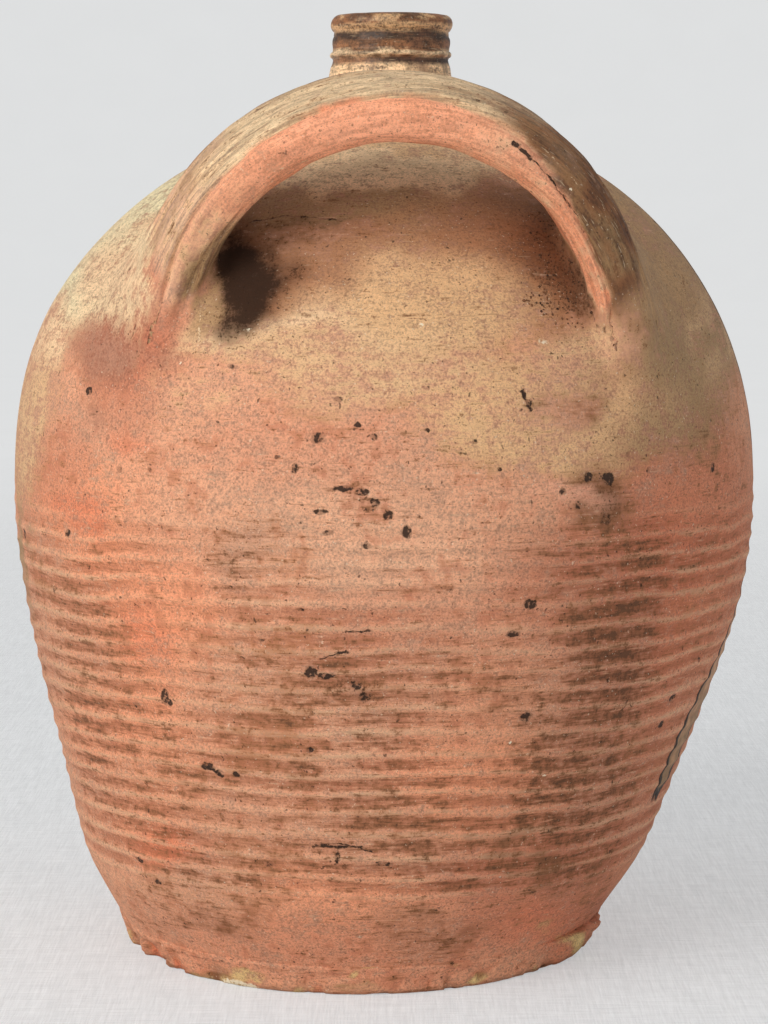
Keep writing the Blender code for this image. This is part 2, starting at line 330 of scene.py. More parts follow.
def hermite(low, high, height):
    span = high[0] - low[0]
    t = (height - low[0]) / span
    return (
        (2 * t**3 - 3 * t**2 + 1) * low[1]
        + (t**3 - 2 * t**2 + t) * span * low[2]
        + (3 * t**2 - 2 * t**3) * high[1]
        + (t**3 - t**2) * span * high[2]
    )


def flankRadius(height):
    stations = (
        (potForm["wallStart"], potForm["footEdge"], potForm["footSlope"]),
        potForm["hip"],
        potForm["flank"],
        (potForm["bellyHeight"], potForm["bellyRadius"], 0.0),
    )
    height = max(height, potForm["wallStart"])
    for low, high in zip(stations, stations[1:]):
        if height <= high[0]:
            return hermite(low, high, height)
    return potForm["bellyRadius"]


def domePoint(radius, rise, angle):
    power = 2 / potForm["domePower"]
    return radius * math.cos(angle) ** power, potForm["bellyHeight"] + rise * math.sin(angle) ** power


def domeSide(radius, rise, endRadius, steps):  # from the belly up to where the dome is cut
    endAngle = math.acos((endRadius / radius) ** (potForm["domePower"] / 2))
    return [domePoint(radius, rise, endAngle * step / steps) for step in range(1, steps + 1)]


def seatHeight():
    share = potForm["seatRadius"] / potForm["bellyRadius"]
    power = potForm["domePower"]
    return potForm["bellyHeight"] + potForm["domeRise"] * (1 - share**power) ** (1 / power)


def leanAt(heights):  # sideways shift of the pot's middle
    reach, level, power = potForm["bellyShift"]
    bow = 1 - np.exp(-((np.maximum(heights, 0.0) / level) ** power))
    neckReach, neckPower = potForm["neckShift"]
    rim = seatHeight() + potForm["neckHeight"]
    return reach * bow + neckReach * (heights / rim) ** neckPower


def outlineMesh(name, outline):
    mesh = bpy.data.meshes.new(name)
    mesh.from_pydata([(radius, 0.0, height) for radius, height in outline], [], [])
    return mesh


# One tree turns every round piece: it spins an outline and presses the finger rings into it.
def turningTree():
    tree, given = startTree("turnedOnTheWheel", {
        "Columns": ("Int", 288),
        "Rows": ("Int", 10),
        "Outside Rows": ("Int", 10),
        "Ring Pitch": ("Float", 0.0078),
        "Ring Depth": ("Float", 0.0),
        "Ring Low": ("Float", 0.0),
        "Ring High": ("Float", 1.0),
        "Ring Tilt": ("Float", 0.0),
        "Ring Wander": ("Float", 0.0),
        "Wobble": ("Float", 0.0),
        "Front Bias": ("Float", 0.0),
        "Clay": ("Material", None),
    })
    columns, rows = given["Columns"], given["Rows"]
    index = Wire(tree, tree.nodes.new("GeometryNodeInputIndex").outputs[0])
    column = (index / rows + 0.0001).floor()
    row = index - column * rows
    position = tree.nodes.new("GeometryNodeInputPosition").outputs[0]
    sample = addNode(tree, "GeometryNodeSampleIndex", {"data_type": "FLOAT_VECTOR"},
                     Geometry=given["Geometry"], Value=position, Index=row)
    profile = addNode(tree, "ShaderNodeSeparateXYZ", Vector=sample.outputs[0])
    radius, height = Wire(tree, profile.outputs[0]), Wire(tree, profile.outputs[2])
    turn = (column - (column / columns + 0.0001).floor() * columns) / columns * math.tau
    angle = turn + turn.sin() * given["Front Bias"] + math.pi / 2  # columns stand closer at the front
    spot = joinXyz(tree, radius * angle.cos(), radius * angle.sin(), height)
    outside = (given["Outside Rows"] - row).ramp(0.0, 1.0)
    wander = cloudIn(tree, spot, 9.0, 3) * 2.2 + cloudIn(tree, spot, 34.0, 5) * 0.5
    level = height + radius * angle.sin() * given["Ring Tilt"] + wander * given["Ring Wander"]
    level = level + (level * (math.tau / 0.041)).sin() * 0.0010
    crest = ((level / given["Ring Pitch"] * math.tau).cos() * 0.5 + 0.5).power(2.0)
    worn = (cloudIn(tree, spot, (26.0, 26.0, 60.0), 8) * 2.6 + 0.80).ramp(0.0, 1.0)
    worn = worn * ((angle.sin() * -1.0).ramp(-0.1, 0.7) * 0.55 + 0.45)
    ends = level.ramp(given["Ring Low"], given["Ring Low"] + 0.014)
    ends = ends * (1.0 - level.ramp(given["Ring High"] - 0.030, given["Ring High"]))
    valley = (1.0 - crest) * ends * outside
    radial = cloudIn(tree, spot, 13.0, 11) * given["Wobble"] * 2.0
    radial = radial + cloudIn(tree, spot, 45.0, 13) * given["Wobble"] * 0.6
    radial = radial - given["Wobble"] * 0.8 - given["Ring Depth"] * valley * (worn * 0.7 + 0.3)
    radial = radial * radius.ramp(0.0, 0.004)  # none on the axis, so that the poles close
    turned = joinXyz(tree, (radius + radial) * angle.cos(), (radius + radial) * angle.sin(), height)
    grid = addNode(tree, "GeometryNodeMeshGrid", Vertices_X=columns + 1, Vertices_Y=rows)
    placed = addNode(tree, "GeometryNodeSetPosition", Geometry=grid.outputs["Mesh"], Position=turned)
    noted = addNode(tree, "GeometryNodeStoreNamedAttribute", {"data_type": "FLOAT", "domain": "POINT"},
                    Geometry=placed.outputs[0], Name="valley", Value=valley * (worn * 0.6 + 0.4))
    closed = addNode(tree, "GeometryNodeMergeByDistance", Geometry=noted.outputs[0], Distance=mergeGap)
    endTree(tree, closed.outputs[0], given["Clay"])
    return tree


# Wall of the pot: the ribbed flank, the belly and the dome in one skin, with its inside.
wallShape = {
    "columns": 336,
    "frontBias": 0.42,
    "low": 0.0092,
    "flankRows": 134,
    "domeRows": 84,
    "innerRows": 14,
    "innerLip": 0.012,  # the inside skin runs in this much further than the seat, under the neck
    "ringPitch": 0.0078,
    "ringDepth": 0.00084,
    "ringLow": 0.030,
    "ringHigh": 0.200,
    "ringTilt": 0.040,  # the rings stand a little higher at the front
    "ringWander": 0.0058,
    "wobble": 0.0008,
    "bulges": (  # angle from the front in degrees, height, half width, half height, how far out
        (90, 0.130, 62, 0.062, 0.0022), (270, 0.248, 62, 0.046, 0.0024), (270, 0.115, 60, 0.040, 0.0010),
    ),
}


def wallOutline():
    low, belly, steps = wallShape["low"], potForm["bellyHeight"], wallShape["flankRows"]
    radius, rise, seat, thick = (potForm[name] for name in ("bellyRadius", "domeRise", "seatRadius", "wall"))
    innerRows = wallShape["innerRows"]
    heights = [low + (belly - low) * step / steps for step in range(steps + 1)]
    outline = [(flankRadius(height), height) for height in heights]
    outline += domeSide(radius, rise, seat, wallShape["domeRows"])
    outerRows = len(outline)
    outline += domeSide(radius - thick, rise - thick, seat - wallShape["innerLip"], innerRows)[::-1]
    for step in range(innerRows + 1):
        height = belly + (low - belly) * step / innerRows
        outline.append((flankRadius(height) - thick, height))
    return outline + outline[:1], outerRows


def makeWall(tree, clay):
    outline, outerRows = wallOutline()
    wall = grow("potWall", tree, {
        **named(wallShape),
        "Rows": len(outline),
        "Outside Rows": outerRows,
        "Clay": clay,
    }, outlineMesh("wallOutline", outline))
    points = readPoints(wall.data)
    angle = np.degrees(np.arctan2(points[:, 0], -points[:, 1]))
    push = np.zeros(len(points))
    for where, height, halfTurn, halfHigh, out in wallShape["bulges"]:
        away = np.hypot(((angle - where + 180) % 360 - 180) / halfTurn, (points[:, 2] - height) / halfHigh)
        push += out * (1 - smoothStep(away, 0.0, 1.3))
    points[:, :2] *= (1 + push / np.hypot(points[:, 0], points[:, 1]))[:, None]
    points[:, 0] += leanAt(points[:, 2])
    writePoints(wall.data, points)
    faceOutwards(wall)
    print("pot wall turned:", len(wall.data.vertices), "points")
    return wall


# Foot: the edge of the slab floor, flush with the wall, broken here and there, with a lip on the right.
footShape = {
    "lip": 0.0002,  # how far its edge stands out past the wall
    "columns": 600,
    "wobble": 0.0002,
    "roughness": 0.0010,
    "edge": (  # radius and height up the broken edge
        (0.0951, 0.0010), (0.0956, 0.0021), (0.0960, 0.0033), (0.0964, 0.0045), (0.0968, 0.0057),
        (0.0972, 0.0069), (0.0976, 0.0081), (0.0980, 0.0093), (0.0984, 0.0104), (0.0988, 0.0114),
    ),
    "flange": (63, 17, 0.0030),  # angle from the front in degrees, half width, how far it stands out
    "chips": (  # angle from the front in degrees, width in degrees, depth in metres
        (-69, 9, 0.0026), (-58, 11, 0.0040), (-47, 5, 0.0014), (-36, 8, 0.0008), (-12, 3, 0.0006),
        (21, 3, 0.0014), (26, 2, 0.0008), (44, 4, 0.0010), (79, 5, 0.0028), (112, 6, 0.0020),
        (150, 8, 0.0022), (221, 6, 0.0026), (262, 5, 0.0016),
    ),
}


def makeFoot(tree, clay):
    outline = [(0.0, 0.0), (0.060, 0.0), (0.0920, 0.0), (0.0938, 0.0), (0.0947, 0.0003)]
    outline += [(radius + footShape["lip"], height) for radius, height in footShape["edge"]]
    outline += [(0.0984, 0.0120), (0.0974, 0.0124), (0.0940, 0.0126), (0.060, 0.0126), (0.0, 0.0126)]
    sizes = {**named(footShape), "Rows": len(outline), "Clay": clay}
    foot = grow("potFoot", tree, sizes, outlineMesh("footOutline", outline))
    points = readPoints(foot.data)
    radius = np.hypot(points[:, 0], points[:, 1])
    angle = np.degrees(np.arctan2(points[:, 0], -points[:, 1])) % 360
    jag = cloudy(points, 0.0050, 4)
    bite = np.zeros(len(points))
    for where, width, depth in footShape["chips"]:
        away = np.abs((angle + jag[:, 1] * 2.5 - where + 180) % 360 - 180)
        bite = np.maximum(bite, depth * (1 - smoothStep(away, width * 0.30, width * 0.55)))
    torn = cloudy(points * np.array((1.0, 1.0, 0.6)), 0.009, 8)[:, 0]
    crumbs = np.abs(cloudy(points, 0.0018, 6)[:, 0])
    rough = smoothStep(torn, 0.10, 0.22) * footShape["roughness"]
    rough += (np.abs(jag[:, 0]) + crumbs * 0.5) * footShape["roughness"] * 0.7
    rim = smoothStep(radius, 0.088, 0.0945)
    low = 1 - smoothStep(points[:, 2], 0.003, 0.0115)
    where, reach, out = footShape["flange"]
    flange = out * (1 - smoothStep(np.abs((angle - where + 180) % 360 - 180), reach * 0.4, reach))
    flange *= (0.35 + 0.65 * smoothStep(points[:, 2], 0.0005, 0.006)) * (0.8 + jag[:, 2] * 0.6)
    shrink = (bite * (0.15 + 0.85 * low) + rough * (0.25 + 0.75 * low) - flange) * rim
    scale = (radius - shrink) / np.maximum(radius, 1e-6)
    points[:, 0] *= scale
    points[:, 1] *= scale
    points[:, 0] += leanAt(points[:, 2])
    writePoints(foot.data, points)
    faceOutwards(foot)
    writeField(foot.data, "chip", smoothStep(bite * (0.2 + 0.8 * low) + rough * low, 0.0007, 0.0016) * rim)
    print("foot turned and chipped")
    return foot


# Neck: rolled rim, band, bead and flared foot.
neckShape = {
    "bore": 0.0150,
    "rollRadius": 0.0243,
    "rollHeight": 0.0072,
    "grooveRadius": 0.0230,
    "bandRadius": 0.0236,
    "beadRadius": 0.0243,
    "beadDrop": 0.0155,
    "beadWidth": 0.0026,
    "waistRadius": 0.0252,
    "flareHeight": 0.0160,
    "flareReach": 0.0430,
    "columns": 200,
    "wobble": 0.00025,
    "unevenness": 0.0003,
}


def arc(center, radii, start, end, steps):
    turns = [math.radians(start + (end - start) * step / steps) for step in range(steps + 1)]
    return [(center[0] + radii[0] * math.cos(turn), center[1] + radii[1] * math.sin(turn)) for turn in turns]


def makeNeck(tree, clay):
    seat = seatHeight()
    rim = seat + potForm["neckHeight"]
    bead = rim - neckShape["beadDrop"]
    bore, groove, band = neckShape["bore"], neckShape["grooveRadius"], neckShape["bandRadius"]
    rollHalf = neckShape["rollHeight"] / 2
    rollFoot = rim - neckShape["rollHeight"]
    outline = [(bore + 0.0028, rim - 0.0004)]
    outline += arc((0.0208, rim - rollHalf), (neckShape["rollRadius"] - 0.0208, rollHalf), 95, -55, 12)
    outline += [(groove, rollFoot - 0.0006), (groove, rollFoot - 0.0012), (band - 0.0002, rollFoot - 0.0019)]
    outline += [(band, rollFoot - 0.0028), (band, rollFoot - 0.0040), (groove + 0.0003, bead + 0.0026)]
    outline += arc((groove, bead), (neckShape["beadRadius"] - groove, neckShape["beadWidth"] / 2), 75, -75, 8)
    outline += [(groove, bead - 0.0020), (groove + 0.0002, bead - 0.0032), (groove + 0.0008, bead - 0.0050)]
    reach, waist = neckShape["flareReach"], neckShape["waistRadius"]
    drop = neckShape["flareHeight"] + 0.0015
    outline += arc((reach, seat - 0.0015 + drop), (reach - waist, drop), 184, 270, 18)
    outline += [(reach - 0.0010, seat - 0.0030), (0.0300, seat - 0.0050), (bore, seat - 0.0060)]
    outline += [(bore, seat + 0.010), (bore, rim - 0.0120), (bore + 0.0002, rim - 0.0060)]
    outline += [(bore + 0.0010, rim - 0.0024), outline[0]]
    sizes = {**named(neckShape), "Rows": len(outline), "Clay": clay}
    neck = grow("potNeck", tree, sizes, outlineMesh("neckOutline", outline))
    points = readPoints(neck.data)
    points += cloudy(points, 0.007, 21) * neckShape["unevenness"]
    points[:, 2] = np.minimum(points[:, 2], rim)
    points[:, 0] += leanAt(points[:, 2])
    writePoints(neck.data, points)
    faceOutwards(neck)
    print("neck turned")
    return neck


# Strap handle: a rounded strap bent over in one arch, twisted and leaning a little.
strapShape = {
    "rootRise": 0.080,
    "halfSpan": 0.082,
    "archRise": 0.083,
    "archPower": 1.97,
    "sideOffset": 0.0022,
    "lean": math.radians(19),
    "turn": math.radians(1.5),
    "twist": math.radians(14),
    "width": 0.040,
    "thickness": 0.021,
    "rootThickness": 0.024,
    "cornerPower": 2.8,
    "springDrop": 0.014,
    "embed": 0.022,
    "creaseDepth": 0.0016,
    "outerCrease": (2.28, 0.45, 1.35),  # round the section: at the top, and how much further at each root
    "innerCrease": (4.10, -0.95, 0.60),
    "leftChamfer": 0.0070,  # on the left the inner face is cut back to show from the front
    "rightShear": 0.42,  # on the right the outer face falls back behind the roll
    "waves": 0.00045,
    "stations": 220,
    "sides": 112,
}


def strapAxes():  # the arch's middle, and the directions across it, up its plane and back towards the neck
    share = (strapShape["rootRise"] / potForm["domeRise"]) ** potForm["domePower"]
    radius = potForm["bellyRadius"] * (1 - share) ** (1 / potForm["domePower"])
    depth = math.sqrt(radius**2 - strapShape["halfSpan"] ** 2)
    turn, lean = strapShape["turn"], strapShape["lean"]
    across = Vector((math.cos(turn), -math.sin(turn), 0.0))
    outward = Vector((-math.sin(turn), -math.cos(turn), 0.0))
    rise = Vector((0.0, 0.0, math.cos(lean))) + outward * math.sin(lean)
    middle = Vector((strapShape["sideOffset"], -depth, potForm["bellyHeight"] + strapShape["rootRise"]))
    return middle - rise * strapShape["springDrop"], across, rise, rise.cross(across)


def vectorSum(tree, *terms):  # terms are (vector, amount) pairs
    total = None
    for vector, amount in terms:
        part = scaled(tree, vector, amount)
        if total is not None:
            node = tree.nodes.new("ShaderNodeVectorMath")
            plug(tree, node.inputs[0], total)
            plug(tree, node.inputs[1], part)
            part = node.outputs[0]
        total = part
    return total


def strapTree():
    tree, given = startTree("strapBentOver", {
        "Stations": ("Int", 220),
        "Sides": ("Int", 72),
        **{name: ("Float", 0.0) for name in (
            "Half Span", "Arch Rise", "Arch Power", "Twist", "Width", "Thickness", "Root Thickness",
            "Corner Power", "Embed", "Crease Depth", "Outer Crease", "Outer Left", "Outer Right",
            "Inner Crease", "Inner Left", "Inner Right", "Right Shear", "Left Chamfer", "Waves")},
        **{name: ("Vector", None) for name in ("Middle", "Across", "Rise", "Back")},
        "Clay": ("Material", None),
    })
    index = Wire(tree, tree.nodes.new("GeometryNodeInputIndex").outputs[0])
    ring = given["Sides"] + 1.0
    station = (index / ring + 0.0001).floor()
    side = index - station * ring
    # along is -1 at the left root and 1 at the right one, and past them the strap runs down into the wall
    along = station / (given["Stations"] - 1.0) * 2.3 - 1.15
    bent = along.most(-1.0).least(1.0)
    angle = bent * (math.pi / 2)
    below = (along.size() - 1.0).most(0.0) / 0.15
    power = 2.0 / given["Arch Power"]
    reach = angle.sin().sign() * angle.sin().size().power(power) * given["Half Span"]
    lift = angle.cos().most(0.0).power(power) * given["Arch Rise"] - below * given["Embed"]
    turn = side / given["Sides"] * math.tau
    corner = 2.0 / given["Corner Power"]
    wide = turn.cos().sign() * turn.cos().size().power(corner) * given["Width"] * 0.5
    thick = given["Thickness"] + (given["Root Thickness"] - given["Thickness"]) * bent.size().power(3.0)
    deep = turn.sin().sign() * turn.sin().size().power(corner) * thick * 0.5
    # a crease runs along each side of the front roll, and finger marks along both faces
    leftShare, rightShare = (along * -1.0).ramp(0.1, 1.0), along.ramp(0.0, 0.75)
    pastOuter = turn - given["Outer Crease"] - given["Outer Left"] * leftShare
    pastOuter = pastOuter - given["Outer Right"] * rightShare
    pastInner = turn - given["Inner Crease"] - given["Inner Left"] * leftShare
    pastInner = pastInner - given["Inner Right"] * rightShare
    creases = 1.0 - (pastOuter.size() / 0.15).ramp(0.0, 1.0)
    creases = creases + (1.0 - (pastInner.size() / 0.20).ramp(0.0, 1.0)) * 0.7
    shrink = creases * given["Crease Depth"]
    ripple = (wide * 1150.0 + along * 2.2).sin() * 0.7 + (wide * 2100.0 - along * 3.0).sin() * 0.4
    shrink = shrink + given["Waves"] * ripple * turn.sin().size().ramp(0.45, 0.8)
    place = joinXyz(tree, along * 7.0, turn.cos() * 2.0, turn.sin() * 2.0)
    shrink = shrink + cloudIn(tree, place, 0.6, 17) * 0.0022 + cloudIn(tree, place, 1.8, 19) * 0.0006
    wide = wide - turn.cos() * shrink
    deep = deep - turn.sin() * shrink
    wide = wide + (deep + thick * 0.5) * rightShare * given["Right Shear"]
    slope = pastInner.ramp(0.0, 1.2) * (turn.cos() * -1.0).most(0.0) * leftShare
    wide = wide + slope * given["Left Chamfer"]
    twist = angle.sin() * given["Twist"] * -1.0
    backPart = wide * twist.cos() - deep * twist.sin()
    outerPart = wide * twist.sin() + deep * twist.cos()
    spot = vectorSum(tree, (given["Middle"], 1.0),
                     (given["Across"], reach + outerPart * angle.sin()),
                     (given["Rise"], lift + outerPart * angle.cos()),
                     (given["Back"], backPart))
    grid = addNode(tree, "GeometryNodeMeshGrid", Vertices_X=given["Stations"], Vertices_Y=ring)
    placed = addNode(tree, "GeometryNodeSetPosition", Geometry=grid.outputs["Mesh"], Position=spot)
    for name, value in (("along", along), ("turn", turn), ("valley", creases),
                        ("pastOuter", pastOuter), ("pastInner", pastInner)):
        placed = addNode(tree, "GeometryNodeStoreNamedAttribute", {"data_type": "FLOAT", "domain": "POINT"},
                         Geometry=placed.outputs[0], Name=name, Value=value)
    closed = addNode(tree, "GeometryNodeMergeByDistance", Geometry=placed.outputs[0], Distance=mergeGap)
    endTree(tree, closed.outputs[0], given["Clay"])
    return tree


def makeStrap(clay):
    middle, across, rise, back = strapAxes()
    outerCrease, outerLeft, outerRight = strapShape["outerCrease"]
    innerCrease, innerLeft, innerRight = strapShape["innerCrease"]
    strap = grow("strapHandle", strapTree(), {
        **named(strapShape),
        "Outer Crease": outerCrease,
        "Outer Left": outerLeft,
        "Outer Right": outerRight,
        "Inner Crease": innerCrease,
        "Inner Left": innerLeft,
        "Inner Right": innerRight,
        "Middle": middle,
        "Across": across,
        "Rise": rise,
        "Back": back,
        "Clay": clay,
    }, bpy.data.meshes.new("strapStart"))
    points = readPoints(strap.data)
    points[:, 0] += leanAt(points[:, 2])
    writePoints(strap.data, points)
    faceOutwards(strap, closeEnds=True)
    print("strap handle bent:", len(strap.data.vertices), "points")
    return strap


# Roots: the potter wiped wads of clay round them, so wall and strap flow into each other.
rootBlend = {
    "softness": 0.022,  # how far the wiped clay spreads on the outside of a root
    "cornerSoftness": 0.0065,  # and inside the arch, where the corner was left sharp
    "overlap": 0.0030,  # each skin runs on this far under the other
    "wallDepth": 0.0060,  # the strap's ends stop inside the wall
    "wipeMarks": 0.0007,
    "potMiddle": (0.0102, 0.0, 0.16),  # the outside skin looks away from here
    "above": 0.21,  # no root reaches lower than this
    "before": -0.02,  # or further back
    "steps": 5,
    "longestStep": 0.003,
}


def skinTree(mesh, center=None):  # with a center, only the faces that look away from it
    points = [vertex.co.copy() for vertex in mesh.vertices]
    faces = [tuple(face.vertices) for face in mesh.polygons
             if center is None or face.normal.dot(face.center - center) > 0]
    return BVHTree.FromPolygons(points, faces)


def nearTo(skin, points):  # signed distance from a skin, and the direction straight away from it
    gaps, ways = np.empty(len(points)), np.empty((len(points), 3))
    for number, point in enumerate(points):
        point = Vector(point)
        spot, normal, _, gap = skin.find_nearest(point)
        away = point - spot
        side = 1.0 if away.dot(normal) >= 0 else -1.0
        gaps[number] = gap * side
        ways[number] = away * (side / gap) if gap > 1e-5 else normal
    return gaps, ways


def softnessAt(points):  # by the distance to the side of the arch's middle
    middle, across, _, _ = strapAxes()
    aside = np.abs((points - np.array(middle) - np.array((leanAt(0.265), 0.0, 0.0))) @ np.array(across))
    outside = smoothStep(aside, strapShape["halfSpan"] - 0.011, strapShape["halfSpan"] + 0.008)
    return rootBlend["cornerSoftness"] + (rootBlend["softness"] - rootBlend["cornerSoftness"]) * outside


# Moves the points of one skin near the roots, and says how near each of them is to the other skin.
def flowTogether(points, wallSkin, strapSkin, ownIsWall):
    soft = softnessAt(points)
    wallGap, wallWay = nearTo(wallSkin, points)
    strapGap, _ = nearTo(strapSkin, points)
    other = strapGap if ownIsWall else wallGap
    nearness = 1 - smoothStep(other, soft * 0.3, soft * 1.3)
    moved = points.copy()
    if not ownIsWall:  # the strap's buried ends are drawn back into the wall
        deep = wallGap < -rootBlend["wallDepth"]
        moved[deep] += wallWay[deep] * (-rootBlend["wallDepth"] - wallGap[deep])[:, None]
    active = (other < soft) & (other > -rootBlend["wallDepth"])
    if ownIsWall:
        active &= wallGap > -0.003
    goal = np.minimum(other[active] + rootBlend["overlap"], 0.0) * 0.9
    spots = points[active]
    for _ in range(rootBlend["steps"]):
        soft = softnessAt(spots)
        a, wayA = nearTo(wallSkin, spots)
        b, wayB = nearTo(strapSkin, spots)
        share = np.clip(1 - np.abs(a - b) / soft, 0.0, 1.0)
        level = np.minimum(a, b) - share**2 * soft / 4
        partA = np.where(a < b, 1 - share / 2, share / 2)[:, None]
        way = partA * wayA + (1 - partA) * wayB
        step = (goal - level) / np.maximum((way**2).sum(axis=1), 0.15)
        spots = spots + way * np.clip(step, -rootBlend["longestStep"], rootBlend["longestStep"])[:, None]
    length = np.maximum(np.linalg.norm(way, axis=1), 1e-6)[:, None]
    wiped = cloudy(spots, 0.013, 41)[:, 0] + cloudy(spots, 0.005, 43)[:, 0] * 0.5
    spots += way / length * (wiped * rootBlend["wipeMarks"] * nearness[active])[:, None]
    moved[active] = spots
    return moved, nearness


def blendRoots(wall, strap):
    wallSkin = skinTree(wall.data, Vector(rootBlend["potMiddle"]))
    strapSkin = skinTree(strap.data)
    points = readPoints(wall.data)
    nearness = np.zeros(len(points))
    region = (points[:, 2] > rootBlend["above"]) & (points[:, 1] < rootBlend["before"])
    points[region], nearness[region] = flowTogether(points[region], wallSkin, strapSkin, True)
    strapPoints, strapNearness = flowTogether(readPoints(strap.data), wallSkin, strapSkin, False)
    writePoints(wall.data, points)
    writePoints(strap.data, strapPoints)
    print("roots blended into the wall")
    return nearness, strapNearness


# Colours of the fired clay and of what lies on it, as seen in full light (0 to 255).
clayColors = {
    "salmon": (212, 154, 122),
    "paleSalmon": (222, 174, 142),
    "pink": (216, 164, 138),
    "orange": (226, 150, 112),
    "peach": (230, 162, 128),
    "redOrange": (218, 124, 88),
    "dustyRed": (188, 120, 92),
    "brick": (184, 106, 78),
    "terracotta": (206, 128, 94),
    "deepRust": (158, 82, 50),
    "ochre": (204, 167, 124),
    "tan": (200, 166, 126),
    "cream": (230, 216, 188),
    "straw": (219, 191, 153),
    "olive": (146, 122, 86),
    "moss": (104, 88, 52),
    "glazeTan": (196, 148, 106),
    "brown": (150, 108, 76),
    "umber": (118, 76, 46),
    "earth": (160, 106, 72),
    "bistre": (62, 40, 26),
    "khaki": (160, 130, 92),
    "taupe": (156, 112, 90),
    "flareTan": (242, 206, 162),
    "slip": (222, 212, 172),
    "glazeYellow": (206, 184, 128),
    "soot": (42, 24, 11),
    "char": (24, 20, 18),
}


def paintOf(name):
    parts = [part / 255 for part in clayColors[name]]
    return np.array([part / 12.92 if part <= 0.04045 else ((part + 0.055) / 1.055) ** 2.4 for part in parts])


def shaderPaint(name):
    return (*paintOf(name), 1.0)


# Where the clay fired to which colour: colour, middle and half size in the photograph, strength.
clayPatches = (
    ("paleSalmon", 340, 520, 150, 80, 0.45), ("dustyRed", 300, 455, 110, 50, 0.30),
    ("paleSalmon", 390, 570, 110, 50, 0.4), ("orange", 95, 520, 60, 70, 0.9),
    ("dustyRed", 112, 345, 40, 40, 0.8), ("orange", 150, 610, 75, 70, 0.85),
    ("redOrange", 95, 505, 30, 22, 0.7), ("redOrange", 150, 640, 26, 40, 0.6),
    ("orange", 140, 725, 75, 70, 0.8), ("redOrange", 172, 850, 34, 24, 0.8),
    ("orange", 150, 815, 60, 40, 0.5), ("brick", 140, 345, 64, 46, 0.85),
    ("dustyRed", 132, 395, 50, 50, 0.6), ("redOrange", 132, 442, 24, 12, 0.45),
    ("redOrange", 142, 262, 12, 30, 0.6), ("redOrange", 130, 250, 20, 60, 0.6),
    ("dustyRed", 60, 470, 40, 60, 0.5), ("dustyRed", 680, 520, 90, 140, 0.9),
    ("brick", 630, 660, 90, 110, 0.6), ("terracotta", 700, 560, 60, 110, 0.7),
    ("dustyRed", 560, 590, 90, 60, 0.6), ("dustyRed", 600, 800, 110, 90, 0.7),
    ("brick", 540, 890, 110, 70, 0.7), ("brick", 640, 560, 90, 60, 0.55), ("orange", 470, 780, 90, 60, 0.7),
    ("brick", 330, 945, 200, 40, 0.30), ("orange", 350, 905, 120, 30, 0.35),
    ("salmon", 250, 700, 60, 30, 0.4), ("dustyRed", 384, 640, 120, 50, 0.4),
    ("redOrange", 545, 930, 30, 30, 0.3), ("orange", 500, 690, 60, 40, 0.35),
    ("orange", 480, 790, 100, 70, 0.40), ("orange", 350, 900, 110, 46, 0.40),
)

